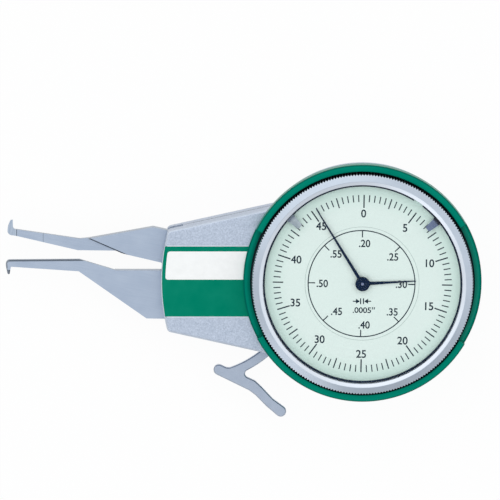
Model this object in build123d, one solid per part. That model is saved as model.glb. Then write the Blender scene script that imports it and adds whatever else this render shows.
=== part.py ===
"""Internal dial caliper gauge lying on its back, in millimetres.

The dial axis is Z and the back of the housing is Z = 0. The arms point to -X
and the trigger to -Y. Angles are in degrees, anticlockwise from +X. The arms
are open against their stop.
"""

import os
from math import atan2, cos, degrees, hypot, radians, sin

from build123d import *

# Play between parts
PRESS_GAP = 0.03
SCREW_GAP = 0.05
RUNNING_GAP = 0.05
MOUTH_GAP = 0.2
SLOT_GAP = 0.4

# Arms; the moving arm turns on the pivot
PIVOT = (-47.6, 3.03)
ARM_LOW = 5.5
ARM_THICKNESS = 4.0
ARM_HIGH = ARM_LOW + ARM_THICKNESS
SPLIT = ARM_LOW + ARM_THICKNESS / 2
BLADE_GAP = 0.1
BLADE_TOP = SPLIT - BLADE_GAP / 2
ARM_CHAMFER = 0.45
ARM_CHAMFER_FROM = 4.6
SHOULDER = ((-77.9, 11.6), (-68.4, 7.42))
SHOULDER_CHAMFER = 0.35
PLATE_CORNER = (-59.5, 14.9)
PLATE_CORNER_RADIUS = 1.0
TIP_JOINT = -98.4
TIP_SEAM = (14.02, 12.19)
TONGUE = (12.7, 13.5)
TONGUE_LENGTH = 1.6
TONGUE_COVER = 0.6
HOOK_TIP = ((-100.85, 1.38), (-100.3, 1.38))
TAIL_RADIUS = 32.7
TAIL_ANGLES = (-44.0, -12.0)
TAIL_WINDOW = (13.0, 24.0)
TAIL_WINDOW_MARGINS = (10.0, 6.0)
TAIL_WINDOW_CORNER = 1.0

# Housing, in plan and in section
DRUM_RADIUS = 32.6
NECK_END_RADIUS = 57.2
NECK_HALF_WIDTH = 26.6
NECK_TAPER = 0.22
NECK_CORNER = 1.4
HOUSING_HEIGHT = 15.0
WALL = 2.2
FLOOR = 2.0
DECK = 1.6
DECK_LOW = HOUSING_HEIGHT - DECK
BACK_EDGE = 1.2
FRONT_EDGE = 0.8
PARTING_CHAMFER = 0.25
HOLE_BOTTOM = 0.8
MOUTH_ENDS = (-60.0, -51.0)
MOUTH_SIDE = 20.0
SPIGOT_MARGIN = 2.4
SPIGOT_RADIUS = DRUM_RADIUS - SPIGOT_MARGIN
SPIGOT_WALL = 1.6
SPIGOT_HEIGHT = 3.0
SPIGOT_TOP = HOUSING_HEIGHT + SPIGOT_HEIGHT
DECK_SHELF = 3.6
DECK_OPENING = SPIGOT_RADIUS - SPIGOT_WALL - DECK_SHELF

# Pivot of the moving arm
PIN_RADIUS = 1.5
PIN_COVER = 1.0
PIN_TOP = HOUSING_HEIGHT - PIN_COVER
BUSH_WALL = 0.97
BUSH_RADIUS = PIN_RADIUS + PRESS_GAP + BUSH_WALL
ARM_BOSS_WALL = 2.0
HOUSING_BOSS_WALL = 2.5
HOUSING_BOSS_RADIUS = PIN_RADIUS + HOUSING_BOSS_WALL
WASHER_THICKNESS = 0.2
WASHER_STEP = 0.3
PIVOT_SPACE = WASHER_THICKNESS + RUNNING_GAP

# Wire that keeps the bezel on its spigot
WIRE_THICKNESS = 0.6
WIRE_DEPTH = 0.35
WIRE_ROOM = 0.12
WIRE_LIFT = 1.0
WIRE_LOW = HOUSING_HEIGHT + WIRE_LIFT
WIRE_GAP_ANGLE = 12.0

# Bezel, window and what they hold
BEZEL_LIFT = 0.3
BEZEL_BOTTOM = HOUSING_HEIGHT + BEZEL_LIFT
BEZEL_BORE = SPIGOT_RADIUS + RUNNING_GAP
BEZEL_WALL = 0.75
BEZEL_CEILING = SPIGOT_TOP + BEZEL_LIFT
CEILING_WIDTH = 1.6
KNURL_ROOT = BEZEL_BORE + BEZEL_WALL
KNURL_DEPTH = 0.4
KNURL_RADIUS = KNURL_ROOT + KNURL_DEPTH
KNURL_TEETH = 240
KNURL_LIFT = 1.2
CHAMBER_WALL = 2.7
CHAMBER_RADIUS = KNURL_ROOT - CHAMBER_WALL
LIP_WIDTH = 0.9
LIP_THICKNESS = 0.6
DIAL_LIFT = 1.6
DIAL_BOTTOM = SPIGOT_TOP + DIAL_LIFT
DIAL_THICKNESS = 0.5
DIAL_TOP = DIAL_BOTTOM + DIAL_THICKNESS
DIAL_HOLE_GAP = 0.5
SPLIT_RING_WIDTH = 0.5
SPLIT_RING_THICKNESS = 0.5
SPLIT_RING_GAP = (52.4, 58.6)
SPLIT_RING_TOP = DIAL_TOP + SPLIT_RING_THICKNESS
CRYSTAL_SEAT = 0.55
CRYSTAL_RADIUS = CHAMBER_RADIUS + CRYSTAL_SEAT
CRYSTAL_LIFT = 1.8
CRYSTAL_BOTTOM = DIAL_TOP + CRYSTAL_LIFT
CRYSTAL_THICKNESS = 0.8
CRYSTAL_TOP = CRYSTAL_BOTTOM + CRYSTAL_THICKNESS
CRYSTAL_EDGE = 0.2
WINDOW_COVER = 0.45
WINDOW_RADIUS = CRYSTAL_RADIUS - WINDOW_COVER
WINDOW_EDGE = 0.1
BEVEL_WIDTH = 1.05
BEVEL_RISE = 0.37
RIDGE_RADIUS = WINDOW_RADIUS + BEVEL_WIDTH
RIDGE_TOP = CRYSTAL_TOP + PRESS_GAP + WINDOW_EDGE + BEVEL_RISE
CONE_DROP = 0.9
MARKER_GAP = 0.15
MARKER_OUTER = CHAMBER_RADIUS - MARKER_GAP
MARKER_LENGTH = 4.1
MARKER_FOOT = 0.8
MARKER_TIP = 1.6
MARKER_TAB = 0.2
MARKER_HEADROOM = 0.3
MARKER_TOP = CRYSTAL_BOTTOM - MARKER_HEADROOM
LEFT_MARKER = (137.3, 2.5)
RIGHT_MARKER = (40.4, 2.5)

# Green ring round the front of the drum
RIM_GAP = 0.46
RIM_INNER = KNURL_RADIUS + RIM_GAP
RIM_BORE = DRUM_RADIUS + PRESS_GAP
SKIRT_WALL = 0.65
SKIRT_OUTER = RIM_BORE + SKIRT_WALL
SKIRT_DEPTH = 3.5
SKIRT_BOTTOM = HOUSING_HEIGHT - SKIRT_DEPTH
RIM_OVERHANG = 0.57
RIM_OUTER = SKIRT_OUTER + RIM_OVERHANG
RIM_HEIGHT = 5.2
RIM_TOP = HOUSING_HEIGHT + RIM_HEIGHT
RIM_OUTER_EDGE = 0.7
RIM_INNER_EDGE = 0.35
SCOOP = (-31.0, 30.0)
SCOOP_LIFTS = (3.2, 1.2, 0.4)
STEP = (153.0, 208.0)
STEP_LIFT = 1.0

# Label on the neck
LABEL_HALF_WIDTH = 10.0
LABEL_BORDER = 0.25
LABEL_END = NECK_END_RADIUS - LABEL_BORDER
LABEL_TUCK = 1.55
LABEL_INNER = RIM_OUTER - LABEL_TUCK
LABEL_THICKNESS = 0.5
LABEL_CORNER = 0.25
LABEL_GAP = 0.2

# Trigger
TRIGGER_THICKNESS = 2.0
TRIGGER_TOP = SPLIT + TRIGGER_THICKNESS
STEM_RADII = (30.05, 32.7)
STEM_END = -74.0
LUG_END = -33.0
LUG_SCREWS = (-39.0, -35.0)
SLOT_ANGLES = (-60.0, -36.0)
PAD_FILLETS = (2.2, 1.1)
TRIGGER_EDGE = 0.3

# Springs
SPRING_GAP = 0.45
SPRING_STRIP = 0.4
SPRING_RADIUS = HOUSING_BOSS_RADIUS + SPRING_GAP + SPRING_STRIP / 2
SPRING_LOW = 2.6
SPRING_HIGH = 4.6
SPRING_LEG = 9.4
SPRING_LEG_ANGLES = (50.0, 15.0)
SPRING_PIN_RADIUS = 0.8
SPRING_PIN_AT = 8.5
SPRING_PIN_REACH = 0.2
STOP_RADIUS = 1.0
STOP_AT = 0.5
STOP_GAP = 0.02

# Gear train and its frame
MODULE = 0.2
SECTOR_MODULE = 0.25
SECTOR_TEETH = 328
SECTOR_PINION_TEETH = 12
INTERMEDIATE_TEETH = 96
CENTRE_TEETH = 10
TAKEUP_TEETH = 60
CANNON_TEETH = 12
MINUTE_TEETH = 32
MINUTE_PINION_TEETH = 11
HOUR_TEETH = 33
INTERMEDIATE_TURN = 231.3
TAKEUP_TURN = 45.0
MINUTE_TURN = 200.0
SECTOR_ANGLES = (-30.2, -12.6)
SECTOR_INNER = 27.0
SECTOR_RIM = 1.2
SECTOR_SCREW_ANGLES = (-27.0, -16.0)
SECTOR_SCREW_RADIUS = 30.0
SECTOR_THICKNESS = 1.2
SECTOR_TOP = SPLIT + SECTOR_THICKNESS
PAD_HEIGHT = 1.2
PAD_RADIUS = 2.2
PLATE_THICKNESS = 1.2
REAR_PLATE_LOW = FLOOR + PAD_HEIGHT
REAR_PLATE_TOP = REAR_PLATE_LOW + PLATE_THICKNESS
REAR_PLATE_RADIUS = 20.5
FRONT_PLATE_SINK = 0.5
FRONT_PLATE_LOW = HOUSING_HEIGHT - FRONT_PLATE_SINK
FRONT_PLATE_TOP = FRONT_PLATE_LOW + PLATE_THICKNESS
FRONT_PLATE_RADIUS = 17.0
PILLAR_RADIUS = 1.5
PILLAR_CIRCLE = 15.0
PILLAR_ANGLES = (20.0, 110.0, -70.0)
TENON_RADIUS = 1.0
PIVOT_RADIUS = 0.3
PIVOT_LENGTH = 1.1
ARBOR_RADIUS = 0.5
CENTRE_RADIUS = 0.4
PIPE_RADIUS = 0.8
POST_RADIUS = 0.5
TIP_HEIGHT = 1.0
ROOT_DEPTH = 1.25
TIP_SHARE = 0.14
ROOT_SHARE = 0.28
PINION_NARROW = 0.85
PINION_OVERLAP = 0.2
WHEEL_LIFT = 1.0
WHEEL_THICKNESS = 1.0
WHEEL_LOW = ARM_HIGH + WHEEL_LIFT
WHEEL_TOP = WHEEL_LOW + WHEEL_THICKNESS
WHEEL_RIM = 0.9
WHEEL_SPOKE = 0.9
WHEEL_HUB = 1.7

# Wheels behind the dial, by their heights above the front plate
CANNON_LIFTS = (0.5, 1.7)
MINUTE_LIFTS = (0.6, 1.4, 2.8)
HOUR_LIFTS = (1.8, 2.6)
POST_HEAD = 0.3

# Hairspring of the take-up wheel
HAIRSPRING_THICKNESS = 0.1
HAIRSPRING_LIFT = 1.0
HAIRSPRING_WIDTH = 0.5
HAIRSPRING_LOW = WHEEL_TOP + HAIRSPRING_LIFT
HAIRSPRING_HIGH = HAIRSPRING_LOW + HAIRSPRING_WIDTH
HAIRSPRING_PITCH = 0.5
HAIRSPRING_ARCS = 7
HAIRSPRING_START = 1.2
COLLET_OVERLAP = 0.3
STUD_RADIUS = 0.5

# Hands
HAND_CLEARANCE = 3.23
LONG_HAND = (121.5, CHAMBER_RADIUS - HAND_CLEARANCE)
LONG_HAND_WIDTHS = (1.0, 0.1)
SHORT_HAND = (2.9, 15.15)
SHORT_HAND_WIDTHS = (1.05, 0.22)
SHORT_HAND_FILLET = 0.8
HAND_THICKNESS = 0.2
HAND_LIFT = 0.3
SHORT_HAND_LOW = DIAL_TOP + HAND_LIFT
SHORT_HAND_TOP = SHORT_HAND_LOW + HAND_THICKNESS
HUB_RADIUS = 2.05
HUB_NECK = 1.1
HUB_GAP = 0.1
HUB_LOW = SHORT_HAND_TOP + HUB_GAP
HUB_NECK_HEIGHT = 0.25
LONG_HAND_LOW = HUB_LOW + HUB_NECK_HEIGHT
HUB_HEADROOM = 0.4
HUB_TOP = CRYSTAL_BOTTOM - HUB_HEADROOM
HUB_EDGE = 0.2

# Screws: shank radius, head radius
CASE_SCREW = (1.0, 1.9)
ARM_SCREW = (1.0, 1.8)
SMALL_SCREW = (0.6, 1.1)
SLOT_WIDTH = 0.3
SCREW_SPARE = 0.2
CASE_SCREW_COVER = 3.5
CASE_SCREW_LENGTH = HOUSING_HEIGHT - CASE_SCREW_COVER
CASE_SCREW_BOSS = 2.6
CASE_SCREW_INSET = 4.9
CASE_SCREW_CIRCLE = DRUM_RADIUS - CASE_SCREW_INSET
CASE_SCREW_ANGLES = (20.0, 90.0, 150.0, 290.0)
NECK_SCREWS = ((-42.0, 12.0), (-38.0, -13.3))
ROOT_SCREWS = ((-50.0, -7.2), (-43.4, -7.2))
ROOT_DOWELS = ((-46.7, -5.0), (-46.7, -9.4))
DOWEL_RADIUS = 0.75
MOVEMENT_SCREW_CIRCLE = 18.5
MOVEMENT_SCREW_ANGLES = (75.0, 195.0, 315.0)
PILLAR_SCREW_DEPTH = 2.5

BASE = (Align.CENTER, Align.CENTER, Align.MIN)

# Slack with which an edge is found at a height
TINY = 0.01


def at(radius, angle, centre=(0.0, 0.0)):
    """Point at a radius and an angle from a centre."""
    turn = radians(angle)
    return (centre[0] + radius * cos(turn), centre[1] + radius * sin(turn))


def disc(radius, low, high, centre=(0.0, 0.0)):
    """Round solid between two heights."""
    return Pos(centre[0], centre[1], low) * Cylinder(radius, high - low, align=BASE)


def tube(outer, inner, low, high, centre=(0.0, 0.0)):
    """Round solid with a hole."""
    return disc(outer, low, high, centre) - disc(inner, low, high, centre)


def slab(face, low, high):
    """Flat outline raised between two heights."""
    return extrude(Pos(0, 0, low) * face, high - low, dir=(0, 0, 1))


def outline(*points):
    """Closed plan through points."""
    return Polygon(*points, align=None)


def rounded(face, *corners):
    """Plan with corners rounded, each given by x, y and radius."""
    for x, y, radius in corners:
        face = fillet(face.vertices().sort_by_distance((x, y))[0], radius)
    return face


def sector(inner, outer, start, end, centre=(0.0, 0.0)):
    """Plan of a part of a ring."""
    outside = CenterArc(centre, outer, start, end - start)
    inside = CenterArc(centre, inner, start, end - start)
    ends = [Line(outside @ 0, inside @ 0), Line(outside @ 1, inside @ 1)]
    return make_face([outside, inside] + ends)


def turned(points, arc=360, start=0):
    """Solid turned about the dial axis from points of radius and height."""
    profile = make_face(Polyline(*[(r, 0, z) for r, z in points], close=True))
    return Rot(0, 0, start) * revolve(profile, Axis.Z, arc)


def group(parts):
    """Separate solids kept in one node."""
    return Compound(children=[solid for part in parts for solid in part.solids()])


def countersunk(sizes, length):
    """Slotted countersunk screw with its head at zero, pointing up."""
    shank, head = sizes
    body = Cone(head, shank, head - shank, align=BASE) + disc(shank, 0, length)
    return body - Box(2 * head, SLOT_WIDTH, head - shank)


def panhead(sizes, length):
    """Slotted screw pointing up from the seat of its flat head."""
    shank, head = sizes
    body = disc(head, -shank, 0) + disc(shank, 0, length)
    return body - Pos(0, 0, -shank) * Box(2 * head, SLOT_WIDTH, shank)


def down(part):
    """Part turned to point down."""
    return Rot(180, 0, 0) * part


def neck_face(inset=0.0, corner=0.0):
    """Plan of the tapered neck with its curved end."""
    slope = inset * hypot(1, NECK_TAPER)
    near = NECK_HALF_WIDTH - slope
    far = NECK_HALF_WIDTH - NECK_TAPER * NECK_END_RADIUS - slope
    face = outline((0, near), (-NECK_END_RADIUS, far), (-NECK_END_RADIUS, -far), (0, -near))
    face &= Circle(NECK_END_RADIUS - inset)
    return fillet(face.vertices().sort_by(Axis.X)[:2], corner) if corner else face


def neck_half(low, high, outside, edge):
    """Half of the neck, rounded along its outer face and chamfered at the parting line."""
    body = slab(neck_face(0, NECK_CORNER), low, high)
    body = fillet(neck_edges(body, outside), edge)
    return chamfer(neck_edges(body, SPLIT), PARTING_CHAMFER)


def neck_edges(body, height):
    """Edges of the neck at a height, apart from its end inside the drum."""
    return level_edges(body, height).filter_by(lambda edge: edge.center().X < -WALL)


def level_edges(body, height):
    """Edges of a body at a height."""
    return body.edges().filter_by(lambda edge: abs(edge.center().Z - height) < TINY)


def cavity_face(gap=0.0):
    """Plan of the space inside the walls, or of what stays a gap clear of them."""
    return neck_face(WALL + gap) + Circle(DRUM_RADIUS - WALL - gap)


def cavity(low, high):
    """Space inside the walls."""
    return slab(cavity_face(), low, high)


def mouth():
    """Slot at the end of the neck that the arms pass through."""
    low = WALL + NECK_TAPER * NECK_END_RADIUS - NECK_HALF_WIDTH
    start, end = MOUTH_ENDS
    face = outline((start, low), (start, MOUTH_SIDE), (end, MOUTH_SIDE), (end, low))
    return slab(face, ARM_LOW - MOUTH_GAP, ARM_HIGH + MOUTH_GAP)


def trigger_slot():
    """Curved slot in the wall for the trigger's stem."""
    face = sector(STEM_RADII[0] - SLOT_GAP, STEM_RADII[1] + SLOT_GAP, *SLOT_ANGLES, PIVOT)
    return slab(face, SPLIT - MOUTH_GAP, TRIGGER_TOP + MOUTH_GAP)


def case_screw_points():
    """Where the six screws of the housing are."""
    return [at(CASE_SCREW_CIRCLE, angle) for angle in CASE_SCREW_ANGLES] + list(NECK_SCREWS)


def movement_screw_points():
    """Where the movement is screwed to its pads."""
    return [at(MOVEMENT_SCREW_CIRCLE, angle) for angle in MOVEMENT_SCREW_ANGLES]


def rear_housing():
    """Back half: floor, walls and the pads that everything is fixed to."""
    neck = neck_half(0, SPLIT, 0, BACK_EDGE)
    drum = disc(DRUM_RADIUS, 0, SPLIT)
    drum = fillet(drum.edges().group_by(Axis.Z)[0], BACK_EDGE)
    drum = chamfer(drum.edges().group_by(Axis.Z)[-1], PARTING_CHAMFER)
    body = neck + drum - cavity(FLOOR, SPLIT)
    for point in case_screw_points():
        body += disc(CASE_SCREW_BOSS, FLOOR, SPLIT, point)
    body += disc(HOUSING_BOSS_RADIUS, FLOOR, ARM_LOW - PIVOT_SPACE, PIVOT)
    body += slab(root_pad(), FLOOR, ARM_LOW)
    for point in movement_screw_points():
        body += disc(PAD_RADIUS, FLOOR, REAR_PLATE_LOW, point)
    body -= mouth()
    body -= trigger_slot()
    shank, head = CASE_SCREW
    for x, y in case_screw_points():
        body -= disc(shank + SCREW_GAP, 0, SPLIT, (x, y))
        body -= Pos(x, y) * Cone(head + SCREW_GAP, shank + SCREW_GAP, head - shank, align=BASE)
    holes = [(PIN_RADIUS + PRESS_GAP, ARM_LOW, PIVOT)]
    holes += [(ARM_SCREW[0] + SCREW_GAP, ARM_LOW, point) for point in ROOT_SCREWS]
    holes += [(DOWEL_RADIUS + PRESS_GAP, ARM_LOW, point) for point in ROOT_DOWELS]
    holes += [(SMALL_SCREW[0] + SCREW_GAP, REAR_PLATE_LOW, point) for point in movement_screw_points()]
    holes += [(STOP_RADIUS + PRESS_GAP, ARM_LOW, stop_point())]
    holes += [(SPRING_PIN_RADIUS + PRESS_GAP, ARM_LOW, spring_rest(0))]
    for radius, high, point in holes:
        body -= disc(radius, HOLE_BOTTOM, high, point)
    return body


def root_pad():
    """Pad under the root of the fixed arm."""
    return outline((-52.6, -3.4), (-40.4, -3.4), (-40.4, -13.0), (-54.5, -13.0))


def front_housing():
    """Front half: walls, deck, spigot for the bezel and the recess of the label."""
    neck = neck_half(SPLIT, HOUSING_HEIGHT, HOUSING_HEIGHT, FRONT_EDGE)
    drum = disc(DRUM_RADIUS, SPLIT, HOUSING_HEIGHT)
    drum = chamfer(drum.edges().group_by(Axis.Z)[0], PARTING_CHAMFER)
    body = neck + drum - cavity(SPLIT, DECK_LOW)
    body += disc(HOUSING_BOSS_RADIUS, ARM_HIGH + PIVOT_SPACE, DECK_LOW, PIVOT)
    for point in case_screw_points():
        body += disc(CASE_SCREW_BOSS, SPLIT, DECK_LOW, point)
    body += disc(SPIGOT_RADIUS, HOUSING_HEIGHT, SPIGOT_TOP)
    body -= disc(DECK_OPENING, DECK_LOW, HOUSING_HEIGHT)
    body -= disc(SPIGOT_RADIUS - SPIGOT_WALL, HOUSING_HEIGHT, SPIGOT_TOP)
    body -= mouth()
    body -= trigger_slot()
    body -= label_recess()
    for point in case_screw_points():
        body -= disc(CASE_SCREW[0] + SCREW_GAP, SPLIT, CASE_SCREW_LENGTH + SCREW_SPARE, point)
    body -= disc(PIN_RADIUS + PRESS_GAP, ARM_HIGH, PIN_TOP, PIVOT)
    groove = (WIRE_LOW - PRESS_GAP, WIRE_LOW + WIRE_THICKNESS + PRESS_GAP)
    return body - tube(SPIGOT_RADIUS + WALL, SPIGOT_RADIUS - WIRE_DEPTH - PRESS_GAP, *groove)


def bezel_retaining_wire():
    """Square wire bent to an open ring in the groove of the spigot."""
    floor = SPIGOT_RADIUS - WIRE_DEPTH
    face = sector(floor, floor + WIRE_THICKNESS, WIRE_GAP_ANGLE, 360)
    return slab(face, WIRE_LOW, WIRE_LOW + WIRE_THICKNESS)


def neck_strip(half_width, inner):
    """Strip along the middle of the neck, from a circle round the dial axis to past the end."""
    end = NECK_END_RADIUS + WALL
    return outline((0, -half_width), (0, half_width), (-end, half_width), (-end, -half_width)) - Circle(inner)


def label_face():
    """Plan of the label, from the end of the neck to under the green ring."""
    face = neck_strip(LABEL_HALF_WIDTH, LABEL_INNER) & Circle(LABEL_END)
    return fillet(face.vertices().sort_by(Axis.X)[:2], LABEL_CORNER)


def label_recess():
    """Strip cut into the neck for the label, open at the end."""
    face = neck_strip(LABEL_HALF_WIDTH + LABEL_GAP, LABEL_INNER - LABEL_GAP)
    return slab(face, HOUSING_HEIGHT - LABEL_THICKNESS, HOUSING_HEIGHT)


def label_plate():
    """Thin printed plate in the recess of the neck."""
    return slab(label_face(), HOUSING_HEIGHT - LABEL_THICKNESS, HOUSING_HEIGHT)


def rim_ring():
    """Green ring: flange on the deck and skirt round the drum, with two thumb notches."""
    section = [(RIM_BORE, SKIRT_BOTTOM), (SKIRT_OUTER, SKIRT_BOTTOM)]
    section += [(SKIRT_OUTER, HOUSING_HEIGHT - RIM_OVERHANG), (RIM_OUTER, HOUSING_HEIGHT)]
    section += [(RIM_OUTER, RIM_TOP), (RIM_INNER, RIM_TOP)]
    section += [(RIM_INNER, HOUSING_HEIGHT), (RIM_BORE, HOUSING_HEIGHT)]
    body = turned(section)
    top = level_edges(body, RIM_TOP).sort_by(SortBy.RADIUS)
    body = fillet(top[-1], RIM_OUTER_EDGE)
    top = level_edges(body, RIM_TOP).sort_by(SortBy.RADIUS)
    body = fillet(top[0], RIM_INNER_EDGE)
    body -= slab(neck_face(-LABEL_GAP), SKIRT_BOTTOM, HOUSING_HEIGHT)
    lifts = [HOUSING_HEIGHT + lift for lift in SCOOP_LIFTS]
    slope = list(zip((RIM_INNER, DRUM_RADIUS, SKIRT_OUTER), lifts))
    body -= notch([(RIM_INNER - RIM_GAP, lifts[0])] + slope + [(RIM_OUTER + WALL, lifts[2])], *SCOOP)
    floor = HOUSING_HEIGHT + STEP_LIFT
    return body - notch([(RIM_INNER - RIM_GAP, floor), (RIM_OUTER + WALL, floor)], *STEP)


def notch(floor, start, end):
    """Cut down from above the green ring to a floor of points of radius and height."""
    high = RIM_TOP + WALL
    return turned(floor + [(floor[-1][0], high), (floor[0][0], high)], end - start, start)


def bezel():
    """Knurled ring that turns on the spigot and carries the dial."""
    lip = CHAMBER_RADIUS - LIP_WIDTH
    seat = CRYSTAL_RADIUS + PRESS_GAP
    seat_top = CRYSTAL_TOP + PRESS_GAP
    section = [(BEZEL_BORE, BEZEL_BOTTOM), (KNURL_RADIUS, BEZEL_BOTTOM)]
    section += [(KNURL_RADIUS, RIDGE_TOP - CONE_DROP), (RIDGE_RADIUS, RIDGE_TOP)]
    section += [(WINDOW_RADIUS, seat_top + WINDOW_EDGE)]
    section += [(WINDOW_RADIUS, seat_top), (seat, seat_top), (seat, CRYSTAL_BOTTOM)]
    section += [(CHAMBER_RADIUS, CRYSTAL_BOTTOM), (CHAMBER_RADIUS, DIAL_BOTTOM), (lip, DIAL_BOTTOM)]
    section += [(lip, DIAL_BOTTOM - LIP_THICKNESS), (BEZEL_BORE - CEILING_WIDTH, BEZEL_CEILING)]
    section += [(BEZEL_BORE, BEZEL_CEILING)]
    groove = SPIGOT_RADIUS - WIRE_DEPTH + WIRE_THICKNESS + WIRE_ROOM
    room = tube(groove, BEZEL_BORE - WALL, WIRE_LOW - WIRE_ROOM, WIRE_LOW + WIRE_THICKNESS + WIRE_ROOM)
    knurled = slab(knurl_face(), BEZEL_BOTTOM + KNURL_LIFT, RIDGE_TOP)
    return turned(section) & (knurled + disc(KNURL_ROOT, BEZEL_BOTTOM, RIDGE_TOP)) - room


def knurl_face():
    """Plan of the knurled edge, with a tooth at every other point."""
    teeth = []
    for step in range(2 * KNURL_TEETH):
        radius = KNURL_RADIUS if step % 2 == 0 else KNURL_ROOT
        teeth.append(at(radius, step * 180 / KNURL_TEETH))
    return outline(*teeth)


def crystal():
    """Clear window snapped in under the edge of the bezel."""
    body = disc(CRYSTAL_RADIUS, CRYSTAL_BOTTOM, CRYSTAL_TOP)
    return chamfer(body.edges().group_by(Axis.Z)[-1], CRYSTAL_EDGE)


def dial_plate():
    """Thin dial that rests on the lip of the bezel."""
    return tube(CHAMBER_RADIUS - RUNNING_GAP, PIPE_RADIUS + DIAL_HOLE_GAP, DIAL_BOTTOM, DIAL_TOP)


def split_ring():
    """Sprung ring that holds the dial down."""
    outer = CHAMBER_RADIUS - RUNNING_GAP
    start, end = SPLIT_RING_GAP
    return slab(sector(outer - SPLIT_RING_WIDTH, outer, end, start + 360), DIAL_TOP, SPLIT_RING_TOP)


def limit_marker(place):
    """Sliding tolerance hand: a thin tapered tab on a foot that rides on the split ring."""
    angle, width = place
    inner = MARKER_OUTER - MARKER_LENGTH
    half = degrees(width / 2 / MARKER_OUTER)
    foot = sector(MARKER_OUTER - MARKER_FOOT, MARKER_OUTER, -half, half)
    tip = MARKER_TIP / 2
    tab = outline((inner, tip), (inner, -tip), (MARKER_OUTER, -width / 2), (MARKER_OUTER, width / 2))
    tab = fillet(tab.vertices().sort_by(Axis.X)[:2], MARKER_TIP / 3) & Circle(MARKER_OUTER)
    body = slab(foot, SPLIT_RING_TOP + RUNNING_GAP, MARKER_TOP)
    return Rot(0, 0, angle) * (body + slab(tab, MARKER_TOP - MARKER_TAB, MARKER_TOP))


def blade_face(length, widths):
    """Tapered hand from the dial axis to +X."""
    base, tip = (width / 2 for width in widths)
    return outline((0, -base), (length, -tip), (length, tip), (0, base))


def long_hand():
    """Long hand with its hub, pressed on the centre arbor."""
    angle, length = LONG_HAND
    blade = slab(blade_face(length, LONG_HAND_WIDTHS), LONG_HAND_LOW, LONG_HAND_LOW + HAND_THICKNESS)
    hub = disc(HUB_RADIUS, LONG_HAND_LOW, HUB_TOP) + disc(HUB_NECK, HUB_LOW, LONG_HAND_LOW)
    hub = fillet(hub.edges().group_by(Axis.Z)[-1], HUB_EDGE)
    return Rot(0, 0, angle) * (blade + hub - disc(CENTRE_RADIUS + PRESS_GAP, HUB_LOW, HUB_TOP))


def short_hand():
    """Short hand, pressed on the pipe of the hour wheel."""
    angle, length = SHORT_HAND
    face = blade_face(length, SHORT_HAND_WIDTHS) + Circle(HUB_RADIUS - HUB_GAP)
    corners = face.vertices().filter_by(lambda corner: SHORT_HAND_FILLET < corner.X < length / 2)
    face = fillet(corners, SHORT_HAND_FILLET) - Circle(PIPE_RADIUS + PRESS_GAP)
    return Rot(0, 0, angle) * slab(face, SHORT_HAND_LOW, SHORT_HAND_TOP)


def tail_points():
    """Corners of the tail of the moving arm, from the pivot to its arc."""
    low = at(TAIL_RADIUS + 4, TAIL_ANGLES[0], PIVOT)
    high = at(TAIL_RADIUS + 4, TAIL_ANGLES[1], PIVOT)
    return [(-46.4, 7.3), (-46.4, -1.3), (-38.2, -1.8), low, high]


def tail_face():
    """Fan-shaped tail with a window, kept clear of the wall of the drum."""
    fan = outline(*tail_points()) & Pos(*PIVOT) * Circle(TAIL_RADIUS) & cavity_face(SLOT_GAP)
    start = TAIL_ANGLES[0] + TAIL_WINDOW_MARGINS[0]
    end = TAIL_ANGLES[1] - TAIL_WINDOW_MARGINS[1]
    window = sector(*TAIL_WINDOW, start, end, PIVOT)
    return fan - fillet(window.vertices(), TAIL_WINDOW_CORNER)


def moving_arm():
    """Upper arm: full plate by the neck, blade in front and tail inside."""
    upper, lower = SHOULDER
    plate = outline(upper, PLATE_CORNER, (-55.8, 14.1), (-50.0, 12.6), (-43.96, 5.67),
                    (-50.39, -0.5), (-57.2, 4.78), lower)
    plate = rounded(plate, (*PLATE_CORNER, PLATE_CORNER_RADIUS))
    blade = outline((TIP_JOINT, TIP_SEAM[0]), (-80.43, 11.38), upper, (-66.0, 9.5), lower,
                    (-69.9, 7.98), (-80.91, 8.10), (TIP_JOINT, TIP_SEAM[1]))
    body = slab(plate + Pos(*PIVOT) * Circle(BUSH_RADIUS + ARM_BOSS_WALL), ARM_LOW, ARM_HIGH)
    middle = ((upper[0] + lower[0]) / 2, (upper[1] + lower[1]) / 2, ARM_HIGH)
    body = chamfer(body.edges().sort_by_distance(middle)[0], SHOULDER_CHAMFER)
    body += slab(blade, ARM_LOW, BLADE_TOP)
    body += slab(tail_face(), ARM_LOW, SPLIT)
    body -= disc(BUSH_RADIUS + PRESS_GAP, ARM_LOW, ARM_HIGH, PIVOT)
    body -= disc(SPRING_PIN_RADIUS + PRESS_GAP, ARM_LOW, SPLIT, spring_rest(1))
    for point in lug_screw_points() + sector_screw_points():
        body -= disc(SMALL_SCREW[0] + SCREW_GAP, ARM_LOW, SPLIT, point)
    return body - tip_tongue(PRESS_GAP)


def tip_tongue(gap=0.0):
    """Tongue of the contact tip that is brazed into the blade."""
    low, high = TONGUE
    start = TIP_JOINT - 1
    end = TIP_JOINT + TONGUE_LENGTH + gap
    face = outline((start, low - gap), (end, low - gap), (end, high + gap), (start, high + gap))
    return slab(face, ARM_LOW + TONGUE_COVER - gap, BLADE_TOP - TONGUE_COVER + gap)


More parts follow.
